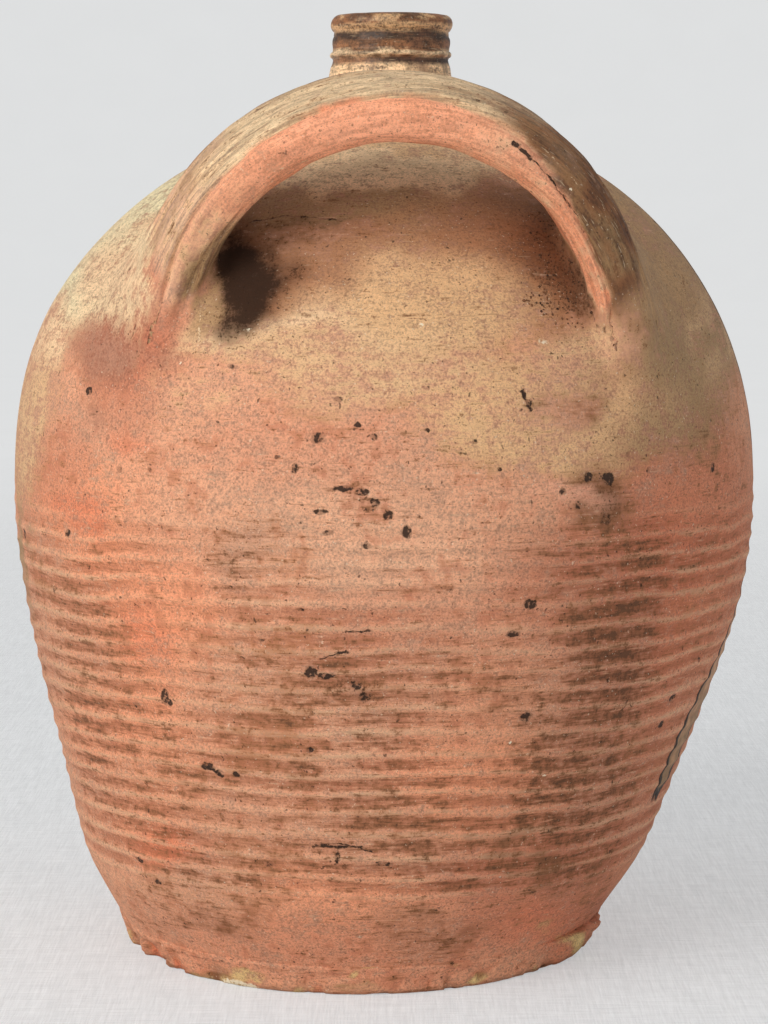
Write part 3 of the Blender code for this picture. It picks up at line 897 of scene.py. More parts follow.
# Slip, wood ash and dirt over the clay, with painted light in the pale bands under the strap's top and
# painted shade in the corner inside the left root: the same, with how much of it lies there.
filmLightAndShadePatches = (
    ("earth", 384, 512, 900, 900, 0.16), ("straw", 90, 235, 90, 110, 0.95), ("slip", 78, 258, 72, 72, 1.0),
    ("slip", 150, 190, 60, 26, 0.95), ("straw", 46, 335, 22, 46, 0.6), ("taupe", 110, 352, 46, 30, 0.62),
    ("taupe", 175, 352, 30, 16, 0.5), ("taupe", 96, 425, 26, 34, 0.4), ("straw", 105, 275, 36, 50, 0.85),
    ("tan", 30, 420, 30, 90, 0.7), ("olive", 22, 560, 14, 90, 0.75), ("ochre", 384, 290, 175, 75, 0.88),
    ("straw", 340, 330, 120, 34, 0.75), ("tan", 384, 375, 150, 40, 0.62), ("khaki", 384, 222, 190, 44, 1.0),
    # the tan at 384, 180 and the straw at 384, 158 are painted light, lifting the strap's shadow below its
    # top
    ("tan", 400, 268, 170, 26, 0.85), ("olive", 384, 205, 150, 16, 0.85), ("tan", 384, 180, 140, 16, 0.95),
    ("straw", 384, 158, 130, 10, 0.9), ("olive", 380, 192, 110, 8, 0.85), ("brown", 330, 236, 90, 18, 0.8),
    ("olive", 690, 320, 80, 130, 0.9), ("tan", 715, 300, 36, 80, 0.85), ("olive", 640, 405, 80, 60, 0.85),
    ("brown", 600, 395, 60, 50, 0.8), ("ochre", 560, 405, 110, 60, 0.72), ("ochre", 480, 425, 90, 45, 0.6),
    ("ochre", 545, 455, 80, 36, 0.7), ("umber", 605, 500, 36, 44, 0.75), ("earth", 690, 600, 60, 50, 0.28),
    ("earth", 245, 535, 60, 28, 0.46), ("earth", 275, 565, 50, 22, 0.40), ("umber", 232, 548, 22, 18, 0.40),
    ("earth", 330, 690, 95, 36, 0.48), ("earth", 300, 645, 120, 30, 0.40),
    ("earth", 250, 740, 95, 54, 0.36), ("earth", 385, 825, 110, 40, 0.36),
    ("earth", 425, 660, 70, 26, 0.30), ("earth", 108, 660, 50, 50, 0.36), ("earth", 60, 640, 40, 90, 0.33),
    ("earth", 160, 785, 80, 44, 0.36), ("earth", 620, 615, 70, 40, 0.36), ("umber", 560, 725, 90, 80, 0.38),
    ("umber", 525, 825, 100, 64, 0.36), ("earth", 620, 765, 60, 44, 0.40),
    ("earth", 200, 885, 100, 44, 0.36), ("earth", 262, 862, 66, 50, 0.36),
    ("earth", 600, 880, 60, 50, 0.33), ("umber", 430, 932, 70, 22, 0.5), ("umber", 215, 928, 56, 20, 0.45),
    ("umber", 560, 872, 50, 24, 0.5), ("glazeYellow", 236, 980, 34, 10, 1.0),
    ("glazeYellow", 480, 984, 16, 6, 0.95), ("olive", 350, 990, 90, 7, 0.4),
    ("glazeYellow", 572, 938, 24, 13, 0.85), ("pink", 560, 500, 60, 12, 0.3),
    ("brown", 470, 250, 60, 40, 0.35), ("straw", 250, 330, 60, 24, 0.8), ("tan", 200, 400, 60, 36, 0.35),
    # the tan at 400, 147 is painted light below the strap's top
    ("tan", 400, 147, 160, 13, 0.95), ("brown", 612, 330, 44, 56, 0.7), ("tan", 588, 352, 56, 26, 0.6),
    ("brown", 480, 238, 90, 52, 0.9), ("ochre", 430, 300, 110, 50, 0.9), ("khaki", 650, 250, 56, 70, 0.88),
    # the umber at 244, 272 is painted shade in the corner inside the left root
    ("brown", 300, 262, 70, 44, 0.85), ("umber", 552, 264, 50, 70, 1.1), ("umber", 244, 272, 46, 66, 1.1),
    ("tan", 300, 345, 110, 24, 0.7), ("khaki", 660, 250, 60, 70, 0.85), ("khaki", 646, 212, 46, 46, 0.9),
    # the straw at 390, 172 is painted light, lifting the strap's shadow below its top
    ("straw", 390, 172, 150, 15, 1.0), ("khaki", 612, 184, 28, 22, 1.0), ("khaki", 672, 268, 26, 60, 0.9),
    ("olive", 712, 330, 14, 60, 0.7), ("khaki", 208, 304, 12, 30, 0.9), ("umber", 575, 408, 40, 22, 0.5),
)

# Dirt that settled in the valleys between the finger rings; the material deepens these valleys with painted
# shade.
grimePatches = (
    (384, 512, 900, 900, 0.10), (384, 260, 220, 130, 0.24), (320, 690, 110, 50, 0.40),
    (70, 650, 60, 100, 0.20), (605, 640, 62, 110, 0.56), (570, 560, 110, 50, 0.40), (620, 545, 50, 70, 0.5),
    (170, 770, 90, 60, 0.32), (400, 860, 150, 40, 0.36), (240, 820, 90, 50, 0.36), (470, 680, 60, 40, 0.34),
    (540, 760, 90, 90, 0.52), (300, 800, 90, 50, 0.34), (240, 548, 60, 30, 0.34), (440, 560, 90, 50, 0.16),
    (640, 350, 90, 90, 0.32), (610, 500, 50, 40, 0.45), (350, 500, 50, 30, 0.35), (150, 400, 60, 40, 0.25),
    (384, 200, 200, 30, 0.26), (384, 465, 110, 60, 0.34), (560, 410, 90, 50, 0.30),
    (520, 900, 90, 50, 0.42), (330, 930, 200, 40, 0.14), (384, 770, 200, 60, 0.30),
    (700, 480, 40, 80, 0.36), (105, 690, 46, 120, 0.32), (240, 770, 56, 110, 0.20),
    (345, 850, 70, 50, 0.34), (195, 900, 80, 36, 0.46), (430, 932, 80, 24, 0.44), (475, 770, 30, 110, 0.12),
    (575, 800, 46, 90, 0.52), (560, 885, 60, 30, 0.48), (240, 545, 40, 34, 0.50), (330, 965, 120, 14, 0.34),
)

sootAndShadePatches = (  # soot and burnt oil; the patches inside the left root are partly painted shade in the corner between strap and wall
    (236, 280, 30, 58, 1.10), (256, 260, 40, 46, 0.66), (240, 268, 22, 40, 1.30), (292, 238, 50, 14, 0.45),
    (556, 268, 34, 66, 0.34), (576, 296, 20, 36, 0.62), (310, 217, 60, 7, 0.5), (400, 164, 110, 4, 0.35),
    (345, 682, 34, 12, 0.42), (235, 545, 26, 14, 0.3), (604, 482, 26, 12, 0.35), (350, 495, 26, 8, 0.35),
    (612, 508, 16, 22, 0.4), (330, 862, 16, 30, 0.2),
)

# Pits and burnt spots: middle, half width, half height in the photograph's pixels, depth of colour.
scars = (
    (89, 391, 6, 5, 0.9), (318, 438, 9, 7, 0.5), (358, 425, 4, 4, 0.7), (375, 437, 4, 4, 0.6),
    (295, 468, 4, 6, 0.6), (343, 489, 12, 3, 0.8), (362, 492, 8, 4, 0.7), (375, 503, 5, 5, 0.8),
    (320, 512, 9, 3, 0.6), (388, 515, 6, 5, 0.8), (328, 533, 7, 3, 0.6), (367, 546, 5, 3, 0.7),
    (407, 532, 5, 8, 0.9), (311, 673, 7, 7, 1.0), (326, 676, 11, 4, 1.0), (356, 685, 5, 6, 1.0),
    (365, 697, 8, 6, 0.6), (342, 652, 8, 2, 0.6), (165, 697, 5, 9, 1.0), (170, 703, 4, 4, 1.0),
    (137, 705, 6, 3, 0.6), (208, 767, 9, 4, 0.9), (218, 773, 5, 4, 1.0), (237, 775, 4, 4, 0.8),
    (310, 750, 4, 3, 0.9), (68, 533, 6, 4, 0.8), (25, 533, 3, 6, 0.8), (475, 441, 3, 3, 0.7),
    (524, 394, 3, 6, 0.8), (529, 404, 3, 5, 0.8), (588, 477, 6, 5, 0.8), (608, 479, 8, 7, 0.9),
    (563, 492, 4, 4, 0.6), (530, 604, 8, 6, 0.9), (513, 634, 8, 4, 0.8), (526, 717, 7, 8, 0.8),
    (713, 467, 4, 5, 0.9), (672, 698, 7, 5, 0.8), (661, 724, 4, 6, 0.9), (699, 660, 4, 3, 0.6),
    (140, 860, 6, 3, 0.9), (158, 882, 6, 3, 0.8), (340, 847, 28, 2, 0.6), (338, 857, 3, 7, 0.7),
    (384, 864, 10, 3, 0.6), (655, 222, 5, 2, 0.9), (270, 865, 7, 4, 0.4), (232, 367, 5, 3, 0.5),
    (338, 399, 5, 3, 0.5), (428, 430, 3, 3, 0.5), (500, 470, 3, 3, 0.6), (450, 590, 4, 2, 0.5),
    (120, 470, 4, 4, 0.4), (478, 100, 3, 2, 0.6), (150, 470, 3, 2, 0.6), (262, 640, 4, 2, 0.6),
    (628, 455, 3, 5, 0.5), (648, 470, 3, 3, 0.5), (580, 505, 7, 6, 0.35), (606, 520, 8, 9, 0.4),
    (54, 590, 3, 3, 0.6), (300, 610, 5, 2, 0.5), (590, 560, 4, 2, 0.5), (640, 585, 3, 3, 0.5),
    (418, 915, 4, 2, 0.4),
)
limeSpots = (
    (545, 775, 2, 2, 0.8), (570, 189, 2, 2, 0.9), (544, 341, 9, 4, 0.35), (570, 330, 3, 3, 0.3),
    (180, 364, 2, 2, 0.8), (510, 742, 2, 2, 0.7), (250, 330, 8, 3, 0.4), (420, 325, 4, 3, 0.5),
    (478, 985, 13, 4, 0.9), (240, 985, 26, 6, 0.7),
)


def patchWeight(u, v, x, y, halfWide, halfHigh, strength):
    away = np.hypot((u - x) / halfWide, (v - y) / halfHigh)
    return strength * (1 - smoothStep(away, 0.35, 1.35))


def lay(colors, name, share):  # a coat of one colour over the others, full where share is 1
    colors += (paintOf(name) - colors) * share[:, None]


def colorAt(u, v, patches):  # patches are laid one over another
    colors = np.tile(paintOf("salmon"), (len(u), 1))
    for name, x, y, halfWide, halfHigh, strength in patches:
        share = patchWeight(u, v, x, y, halfWide, halfHigh, strength)
        lay(colors, name, share)
    return colors


def tintAt(u, v, patches):  # the film's colour, however thin the film
    return colorAt(u, v, [(*patch[:5], 1.0) for patch in patches])


def amountAt(u, v, patches):
    amount = np.zeros(len(u))
    for *_, x, y, halfWide, halfHigh, strength in patches:
        share = patchWeight(u, v, x, y, halfWide, halfHigh, 1.0)
        amount += (strength - amount) * share
    return amount


# The patches' edges are moved about: size of the waves in metres, how far sideways and up in pixels.
patchWarp = {"broad": (0.030, 26, 20), "fine": (0.008, 10, 8)}

# The half that the photograph doesn't show, with the olive glaze that ran down there.
farSide = {
    "shift": 46,  # the unseen half repeats the seen half's kinds of patches, moved and warped
    "warp": 95,
    "leftOut": "umber",  # its dark stains belong to the front
    "glazeLeft": (
        (0.0, 62), (0.060, 63), (0.086, 64), (0.1025, 66), (0.119, 71), (0.140, 77), (0.165, 81), (0.330, 80),
    ),
    "glazeRight": ((0.0, 112), (0.150, 124), (0.330, 138)),  # height and angle from the front, in degrees
    "glazeTop": 0.306,
    "glazeFoot": 0.066,  # the longest run ends here, at the left edge
}


def glazeLayers(points, broad):  # where the glaze is, in millimetres inside its edge, and how thick it lies
    heights = points[:, 2]
    toRight = points[:, 0] - leanAt(heights)
    out = np.hypot(toRight, points[:, 1])
    angle = np.degrees(np.arctan2(toRight, -points[:, 1])) % 360
    left = np.interp(heights, *zip(*farSide["glazeLeft"]))
    right = np.interp(heights, *zip(*farSide["glazeRight"])) + broad[:, 2] * 16
    runs = np.sin(np.radians(angle) * 23 + 1.3) * 0.5 + np.sin(np.radians(angle) * 41 + 0.6) * 0.3
    runs += np.sin(np.radians(angle) * 9) * 0.4
    tongue = farSide["glazeFoot"] + smoothStep(angle, left + 3, left + 12) * (0.050 + 0.034 * runs)
    inside = np.minimum(np.radians(angle - left) * out, np.radians(right + 25 - angle) * out)
    inside = np.minimum(inside, (heights - tongue) * 0.6)
    depth = smoothStep(right - angle, 0, 22) * smoothStep(farSide["glazeTop"] - heights, -0.02, 0.05)
    depth *= 0.45 + 0.55 * (1 - smoothStep(heights - tongue, 0.010, 0.080))
    return {"glazeInside": np.clip(inside * 1000, -15, 15), "glazeDepth": depth}


def surfaceLayers(points, normals):  # every colour field of a skin at its points
    u, v = toPixels(points)
    (broadSize, broadU, broadV), (fineSize, fineU, fineV) = patchWarp["broad"], patchWarp["fine"]
    broad, fine = cloudy(points, broadSize, 31), cloudy(points, fineSize, 33)
    u = u + broad[:, 0] * broadU + fine[:, 0] * fineU
    v = v + broad[:, 1] * broadV + fine[:, 1] * fineV
    toCamera = np.array(viewpoint["place"]) - points
    facing = (normals * toCamera).sum(axis=1) / np.linalg.norm(toCamera, axis=1)
    seen = smoothStep(facing, -0.32, -0.06)
    drift = cloudy(points, 0.075, 37) * farSide["warp"]
    farU, farV = viewpoint["wide"] - u + farSide["shift"] + drift[:, 0], v + drift[:, 1] * 0.5
    # soot, with painted shade in the corner inside the left root
    layers = {"soot": amountAt(u, v, sootAndShadePatches) * seen}
    for name, patches, rule in (("clay", clayPatches, colorAt), ("filmTint", filmLightAndShadePatches, tintAt),
                                ("film", filmLightAndShadePatches, amountAt), ("grime", grimePatches, amountAt)):
        share = seen[:, None] if rule in (colorAt, tintAt) else seen
        away = rule(farU, farV, [patch for patch in patches if patch[0] != farSide["leftOut"]])
        layers[name] = rule(u, v, patches) * share + away * (1 - share)
    return {**layers, **glazeLayers(points, broad)}


kilnWarmth = np.array((1.030, 1.0, 0.960))  # the whole pot fired a little warmer than its patches


def dress(mesh, layers, run):
    writeColor(mesh, "clayTint", layers["clay"] * kilnWarmth)
    writeColor(mesh, "filmTint", layers["filmTint"] * kilnWarmth)
    for name in ("film", "grime", "valley", "soot", "glazeInside", "glazeDepth", "gloss", "calm", "ribbed"):
        writeField(mesh, name, layers.get(name, np.zeros(len(run))))
    layer = mesh.attributes.new("run", "FLOAT_VECTOR", "POINT")
    layer.data.foreach_set("vector", np.ascontiguousarray(run, dtype=float).ravel())


streakStretch = 0.11  # wiping and turning marks are this much shorter across than along
acrossTheWheel = np.array((streakStretch, streakStretch, 1.0))


def dressWall(wall, nearness):
    points, normals = readPoints(wall.data), readNormals(wall.data)
    layers = surfaceLayers(points, normals)
    low, high = wallShape["ringLow"], wallShape["ringHigh"]
    layers["valley"] = readField(wall.data, "valley")
    layers["calm"] = nearness
    layers["ribbed"] = smoothStep(points[:, 2], low, low + 0.02)
    layers["ribbed"] *= 1 - smoothStep(points[:, 2], high - 0.04, high)
    dress(wall.data, layers, points * acrossTheWheel)


def dressFoot(foot):
    points, normals = readPoints(foot.data), readNormals(foot.data)
    layers = surfaceLayers(points, normals)
    chip = readField(foot.data, "chip")
    raw = cloudy(points, 0.010, 61)[:, 0]
    lay(layers["clay"], "redOrange", chip * smoothStep(raw, -0.1, 0.3))
    stained = chip * smoothStep(raw, 0.1, -0.2)
    lay(layers["filmTint"], "umber", stained)
    layers["film"] += (0.55 - layers["film"]) * chip * 0.6
    cream = smoothStep(cloudy(points, 0.009, 63)[:, 1], 0.40, 0.48) * (1 - chip) * 0.7
    lay(layers["filmTint"], "glazeYellow", cream)
    layers["film"] += (0.9 - layers["film"]) * cream
    edge = 1 - smoothStep(points[:, 2], 0.0006, 0.0030)  # darker along the lower edge
    layers["grime"] += (0.80 - layers["grime"]) * edge
    layers["clay"] *= (1 - 0.2 * edge)[:, None]
    dress(foot.data, layers, points * acrossTheWheel)


neckBands = (  # colour, from and to below the rim, strength, and how much of it the left side has
    ("umber", 0.0, 0.0040, 0.76, 1.0),
    ("ochre", 0.0042, 0.0070, 0.90, 1.0),
    # painted shade in the groove under the roll
    ("char", 0.0072, 0.0102, 0.92, 1.0),
    ("umber", 0.0104, 0.0138, 0.50, 1.0),
    # painted highlight along the bead
    ("straw", 0.0144, 0.0166, 0.95, 1.0),
    # painted shade in the groove under the bead, mostly on the right
    ("char", 0.0170, 0.0200, 0.92, 0.15),
    # the flare's pale tan is partly painted light, paler than its clay to lift the shade under the bead
    ("flareTan", 0.0200, 0.0340, 0.95, 1.0),
)


def dressNeck(neck):
    points, normals = readPoints(neck.data), readNormals(neck.data)
    layers = surfaceLayers(points, normals)
    rim = seatHeight() + potForm["neckHeight"]
    down = rim - points[:, 2]
    wave = cloudy(points * np.array((1.0, 1.0, 2.0)), 0.010, 71)
    wave += cloudy(points * np.array((1.0, 1.0, 2.5)), 0.0035, 73) * 0.5
    down = down + wave[:, 0] * 0.0012
    blendFrom, blendTo = seatHeight() + 0.003, seatHeight() + 0.013  # below, the dome's own colours
    share = 1 - smoothStep(points[:, 2], blendFrom, blendTo)
    tint = np.tile(paintOf("brown"), (len(points), 1))
    toRight = points[:, 0] - leanAt(points[:, 2])
    soft = 0.0006
    for name, low, high, strength, leftShare in neckBands:
        band = smoothStep(down, low - soft, low + soft) * (1 - smoothStep(down, high - soft, high + soft))
        band *= leftShare + (1 - leftShare) * smoothStep(toRight, -0.014, 0.002)
        lay(tint, name, band * strength)
    # on the flare the char lies mostly on the right: painted shade
    shady = smoothStep(toRight, -0.006, 0.014)
    patchy = smoothStep(wave[:, 1] + wave[:, 2] * 0.6, -0.06, 0.26)
    patchy *= np.where(down > 0.0190, 0.05 + 0.95 * shady, 0.9)
    patchy *= 1 - smoothStep(down, 0.0036, 0.0050) * (1 - smoothStep(down, 0.0066, 0.0074)) * 0.8
    lay(tint, "char", patchy * 0.52)
    # ochre on the rim roll, partly painted highlights
    gold = smoothStep(wave[:, 2] - wave[:, 0], 0.16, 0.46) * (1 - smoothStep(down, 0.0060, 0.0085))
    lay(tint, "ochre", gold * 0.7)
    lay(layers["clay"], "brown", 1 - share)
    layers["filmTint"] = layers["filmTint"] * share[:, None] + tint * (1 - share)[:, None]
    layers["film"] = layers["film"] * share + 1.05 * (1 - share)
    layers["gloss"] = 0.35 * (1 - share)
    layers["grime"] = layers["grime"] * 0.6
    dress(neck.data, layers, points * acrossTheWheel)


# For the left limb, the top and the right limb: colour of the clay, film over it, how much film.
strapTints = {
    "front": (("peach", "tan", 0.44), ("orange", "peach", 0.56), ("peach", "straw", 0.26)),
    "outer": (("paleSalmon", "tan", 0.40), ("straw", "straw", 0.70), ("umber", "umber", 0.78)),
    # the left limb's inner face is brown partly as painted shade, that face being turned from the light
    "inner": (("brown", "khaki", 0.85), ("orange", "paleSalmon", 0.12), ("orange", "tan", 0.20)),
    "back": (("salmon", "olive", 0.7), ("salmon", "olive", 0.85), ("salmon", "brown", 0.85)),
}


def dressStrap(strap, nearness):
    mesh = strap.data
    points, normals = readPoints(mesh), readNormals(mesh)
    layers = surfaceLayers(points, normals)
    along, turn = readField(mesh, "along"), readField(mesh, "turn")
    pastOuter, pastInner = readField(mesh, "pastOuter"), readField(mesh, "pastInner")
    wave = cloudy(points, 0.014, 81)
    ragged = wave[:, 0] * 0.16 + cloudy(points, 0.004, 83)[:, 0] * 0.12
    shares = {
        "front": np.ones(len(points)),
        "outer": 1 - smoothStep(pastOuter + ragged, -0.16, 0.10),
        "inner": smoothStep(pastInner + ragged + 0.20 * smoothStep(-along, 0.35, 0.8), -0.20, 0.20),
        "back": smoothStep(np.cos(turn), 0.3, 0.7),
    }
    drift = along + wave[:, 1] * 0.14
    limbs = (smoothStep(-drift, 0.30, 0.72), np.ones(len(points)), smoothStep(drift, 0.10, 0.50))
    clay, tint, film = np.zeros((len(points), 3)), np.zeros((len(points), 3)), np.zeros(len(points))
    for part, share in shares.items():
        partClay, partTint, partFilm = np.zeros_like(clay), np.zeros_like(tint), np.zeros_like(film)
        for limb in (1, 0, 2):  # the top first, then the limbs over it
            clayName, filmName, amount = strapTints[part][limb]
            lay(partClay, clayName, limbs[limb])
            lay(partTint, filmName, limbs[limb])
            partFilm += (amount - partFilm) * limbs[limb]
        clay += (partClay - clay) * share[:, None]
        tint += (partTint - tint) * share[:, None]
        film += (partFilm - film) * share
    darker = smoothStep(drift, 0.30, 0.62) * shares["outer"]
    lay(tint, "olive", darker * smoothStep(-wave[:, 2], -0.25, 0.25) * 0.6)
    streaky = cloudy(np.stack([along * 0.11, np.cos(turn) * 0.020, np.sin(turn) * 0.012], axis=1)
                     * np.array((0.14, 1.0, 1.0)), 0.0030, 85)[:, 0]
    dusk = smoothStep(streaky, 0.04, 0.26) * (shares["outer"] + shares["inner"] * limbs[0])
    lay(tint, "umber", dusk * 0.42)
    film += (0.80 - film) * dusk * 0.5
    spots = smoothStep(wave[:, 2], 0.20, 0.30) * darker
    lay(tint, "char", spots * 0.55)
    rusty = smoothStep(-drift, 0.72, 0.95) * shares["outer"]
    lay(clay, "brick", rusty * 0.8)
    film -= film * rusty * 0.5
    # painted highlight along the left limb's front ridge
    ridgeHighlight = smoothStep(-drift, 0.45, 0.85) * (1 - shares["outer"]) * (1 - shares["inner"])
    lay(clay, "paleSalmon", ridgeHighlight * 0.8)
    under = smoothStep(turn, 3.05, 3.75) * (1 - shares["outer"]) * smoothStep(drift, -0.55, -0.2)
    lay(clay, "orange", under * 0.75)
    own = 1 - smoothStep(nearness + wave[:, 0] * 0.15, 0.30, 0.96)
    layers["clay"] = layers["clay"] * (1 - own)[:, None] + clay * own[:, None]
    layers["filmTint"] = layers["filmTint"] * (1 - own)[:, None] + tint * own[:, None]
    layers["film"] = layers["film"] * (1 - own) + film * own
    # the wall's soot and painted shade stay on the strap's inner face near the roots
    layers["soot"] = layers["soot"] * np.maximum(1 - own, smoothStep(pastInner, 0.0, 0.5) * 0.6)
    layers["grime"] = layers["grime"] * (1 - own) + (0.26 + 0.16 * shares["outer"]) * own
    layers["glazeInside"][:] = -15
    run = np.stack([along * 0.13 * streakStretch, np.cos(turn) * 0.020, np.sin(turn) * 0.012], axis=1)
    rolled = (1 - shares["outer"]) * (1 - shares["inner"] * limbs[0])
    layers["valley"] = readField(mesh, "valley") * own
    layers["calm"] = np.maximum(nearness, rolled * 0.85)
    dress(mesh, layers, run)
    print("strap coloured")


# Marks that are too fine for the mesh are drawn by the material at points found with sight lines.
def findMarks(pieces, marks):  # name of the piece that each mark falls on -> its marks in metres
    skins = {name: skinTree(piece.data) for name, piece in pieces.items()}
    found = {name: [] for name in pieces}
    for px, py, halfWide, halfHigh, strength in marks:
        start, way = sightLine(px, py)
        hits = {}
        for name, skin in skins.items():
            spot, _, _, gap = skin.ray_cast(start, way)
            if spot is not None:
                hits[name] = (gap, spot)
        if hits:
            name = min(hits, key=lambda one: hits[one][0])
            gap, spot = hits[name]
            metre = gap / viewpoint["focalPixels"]
            sizes = (halfWide * metre, max(halfWide, halfHigh) * metre, halfHigh * metre)
            found[name].append((tuple(spot), sizes, strength))
    return found


# Cracks and hairlines, and painted shade along the strap's crease on the right limb: points in the
# photograph's pixels, half width there, strength.
cracksAndCreaseShade = (
    (((320, 659), (334, 655), (346, 650)), 0.9, 0.8), (((346, 632), (371, 631)), 1.2, 0.7),
    (((522, 391), (526, 400), (531, 410)), 1.8, 0.8), (((313, 846), (340, 843), (372, 852)), 1.2, 0.6),
    (((339, 845), (337, 864)), 1.2, 0.6),
    # these two trace the strap's crease on the right limb: painted shade in the crease
    (((514, 143), (522, 150), (531, 158)), 2.0, 0.9),
    (((531, 158), (552, 180), (568, 203), (579, 219)), 0.9, 0.75),
    (((250, 222), (286, 216), (338, 220)), 1.3, 0.5), (((205, 764), (222, 776)), 2.2, 0.8),
)
lightLines = (
    (((545, 150), (574, 180), (600, 216)), 0.9, 0.36), (((535, 122), (572, 158), (604, 208)), 0.8, 0.36),
    (((200, 309), (199, 341)), 1.0, 0.7), (((168, 241), (196, 200), (236, 158)), 1.0, 0.45),
    (((300, 104), (352, 88), (400, 82)), 0.9, 0.4), (((330, 96), (384, 86), (440, 88)), 0.7, 0.4),
    (((400, 160), (470, 168), (510, 182)), 1.2, 0.4), (((280, 168), (330, 155), (380, 152)), 1.0, 0.4),
)


def findLines(pieces, lines):
    found = {name: [] for name in pieces}
    for path, halfWide, strength in lines:
        for start, end in zip(path, path[1:]):
            ends = findMarks(pieces, [(*spot, halfWide, halfWide, strength) for spot in (start, end)])
            for name, both in ends.items():
                if len(both) == 2:
                    found[name].append((both[0][0], both[1][0], both[0][1][0], strength))
    return found


# Materials: fired clay with its film, dirt, soot, glaze and marks, and painted shade and highlights.
clayRecipes = {
    "wall": {
        "contrast": 1.15, "streaks": 0.62, "grain": 0.17, "groove": 0.11, "specks": 1.0, "roughness": 0.80,
    },
    "foot": {
        "contrast": 1.2, "streaks": 0.35, "grain": 0.24, "groove": 0.06, "specks": 1.0, "roughness": 0.86,
    },
    "neck": {
        "contrast": 1.5, "streaks": 1.5, "grain": 0.22, "groove": 0.20, "specks": 0.6, "roughness": 0.62,
    },
    "strap": {
        "contrast": 0.78, "streaks": 2.3, "grain": 0.12, "groove": 0.20, "specks": 0.75, "roughness": 0.74,
    },
}


def blend(tree, share, under, over):
    node = addNode(tree, "ShaderNodeMix", {"data_type": "RGBA"})
    plug(tree, node.inputs[0], share)
    plug(tree, node.inputs[6], under)
    plug(tree, node.inputs[7], over)
    return node.outputs[2]


def fieldOf(tree, name, output):
    node = addNode(tree, "ShaderNodeAttribute", {"attribute_name": name})
    return node.outputs[output]


def numberOf(tree, name):
    return Wire(tree, fieldOf(tree, name, "Fac"))


def spotMask(tree, place, marks):  # soft-edged blots
    total = None
    for spot, sizes, strength in marks:
        scale = tuple(1 / size for size in sizes)
        shift = tuple(-part * factor for part, factor in zip(spot, scale))
        mask = (1.0 - lengthOf(tree, stretched(tree, place, scale, shift)).ramp(0.55, 1.25)) * strength
        total = mask if total is None else total.most(mask)
    return total


def lineMask(tree, place, lines):  # distance to each stretch of a line
    total = None
    for start, end, halfWide, strength in lines:
        way = Vector(end) - Vector(start)
        fromStart = addNode(tree, "ShaderNodeVectorMath", {"operation": "SUBTRACT"})
        plug(tree, fromStart.inputs[0], place)
        plug(tree, fromStart.inputs[1], start)
        dot = addNode(tree, "ShaderNodeVectorMath", {"operation": "DOT_PRODUCT"})
        plug(tree, dot.inputs[0], fromStart.outputs[0])
        plug(tree, dot.inputs[1], tuple(way / way.length_squared))
        share = Wire(tree, dot.outputs["Value"]).most(0.0).least(1.0)
        nearest = scaled(tree, tuple(way), share)
        rest = addNode(tree, "ShaderNodeVectorMath", {"operation": "SUBTRACT"})
        plug(tree, rest.inputs[0], fromStart.outputs[0])
        plug(tree, rest.inputs[1], nearest)
        mask = (1.0 - lengthOf(tree, rest.outputs[0]).ramp(halfWide * 0.5, halfWide * 1.4)) * strength
        total = mask if total is None else total.most(mask)
    return total


def crumpled(tree, place):  # moves every point by up to a millimetre, so that marks get ragged edges
    shake = addNode(tree, "ShaderNodeTexNoise", Vector=place, Scale=420.0, Detail=3.0).outputs["Color"]
    warped = vectorSum(tree, (place, 1.0), (shake, 0.0022))
    return stretched(tree, warped, (1.0, 1.0, 1.0), (-0.0011, -0.0011, -0.0011))


# Olive glaze: thin above, thick in the runs below, dark along its edge.
def glazeOver(tree, place, color, inGlaze, patch, blot, grain):
    runny = cloudIn(tree, place, (230.0, 230.0, 15.0), 12, 3.0)
    depth = numberOf(tree, "glazeDepth")
    glaze = inGlaze.ramp(-0.35, 0.35) * (depth * 1.5 + runny * 1.5 + patch * 0.6 - 0.12).ramp(0.0, 0.80)
    greener = (runny * 2.0 + patch * 0.8 + depth * 0.5).ramp(0.10, 1.10)
    glazeColor = blend(tree, greener, shaderPaint("glazeTan"), shaderPaint("olive"))
    thicker = (depth + patch * 1.5 - runny * 1.5).ramp(0.55, 1.15)
    glazeColor = blend(tree, thicker * 0.7, glazeColor, shaderPaint("moss"))
    coverage = glaze * (depth * 0.4 + 0.42)
    color = blend(tree, coverage, color, scaled(tree, glazeColor, 1.0 + grain * 0.6 + blot * 0.5))
    lip = (1.0 - (inGlaze - 0.9).size().ramp(0.9, 2.3)) * depth.ramp(0.10, 0.35)
    return blend(tree, lip * 0.94, color, shaderPaint("char")), glaze, depth


def marksOver(tree, color, blot, grain, marks):  # a mark is its mask, its colour and whether it is a dent
    dent = None
    for mask, tint, isDent in marks:
        if mask is None:
            continue
        if isDent:
            halo = (mask + blot * 0.8 * mask).ramp(0.02, 0.6)
            color = blend(tree, halo * 0.40, color, shaderPaint("umber"))
        share = (mask * (0.92 + blot * 4.0 + grain * 3.0)).ramp(0.26, 0.72)
        color = blend(tree, share * 0.93, color, shaderPaint(tint))
        if isDent:
            dent = mask if dent is None else dent.most(mask)
    return color, dent


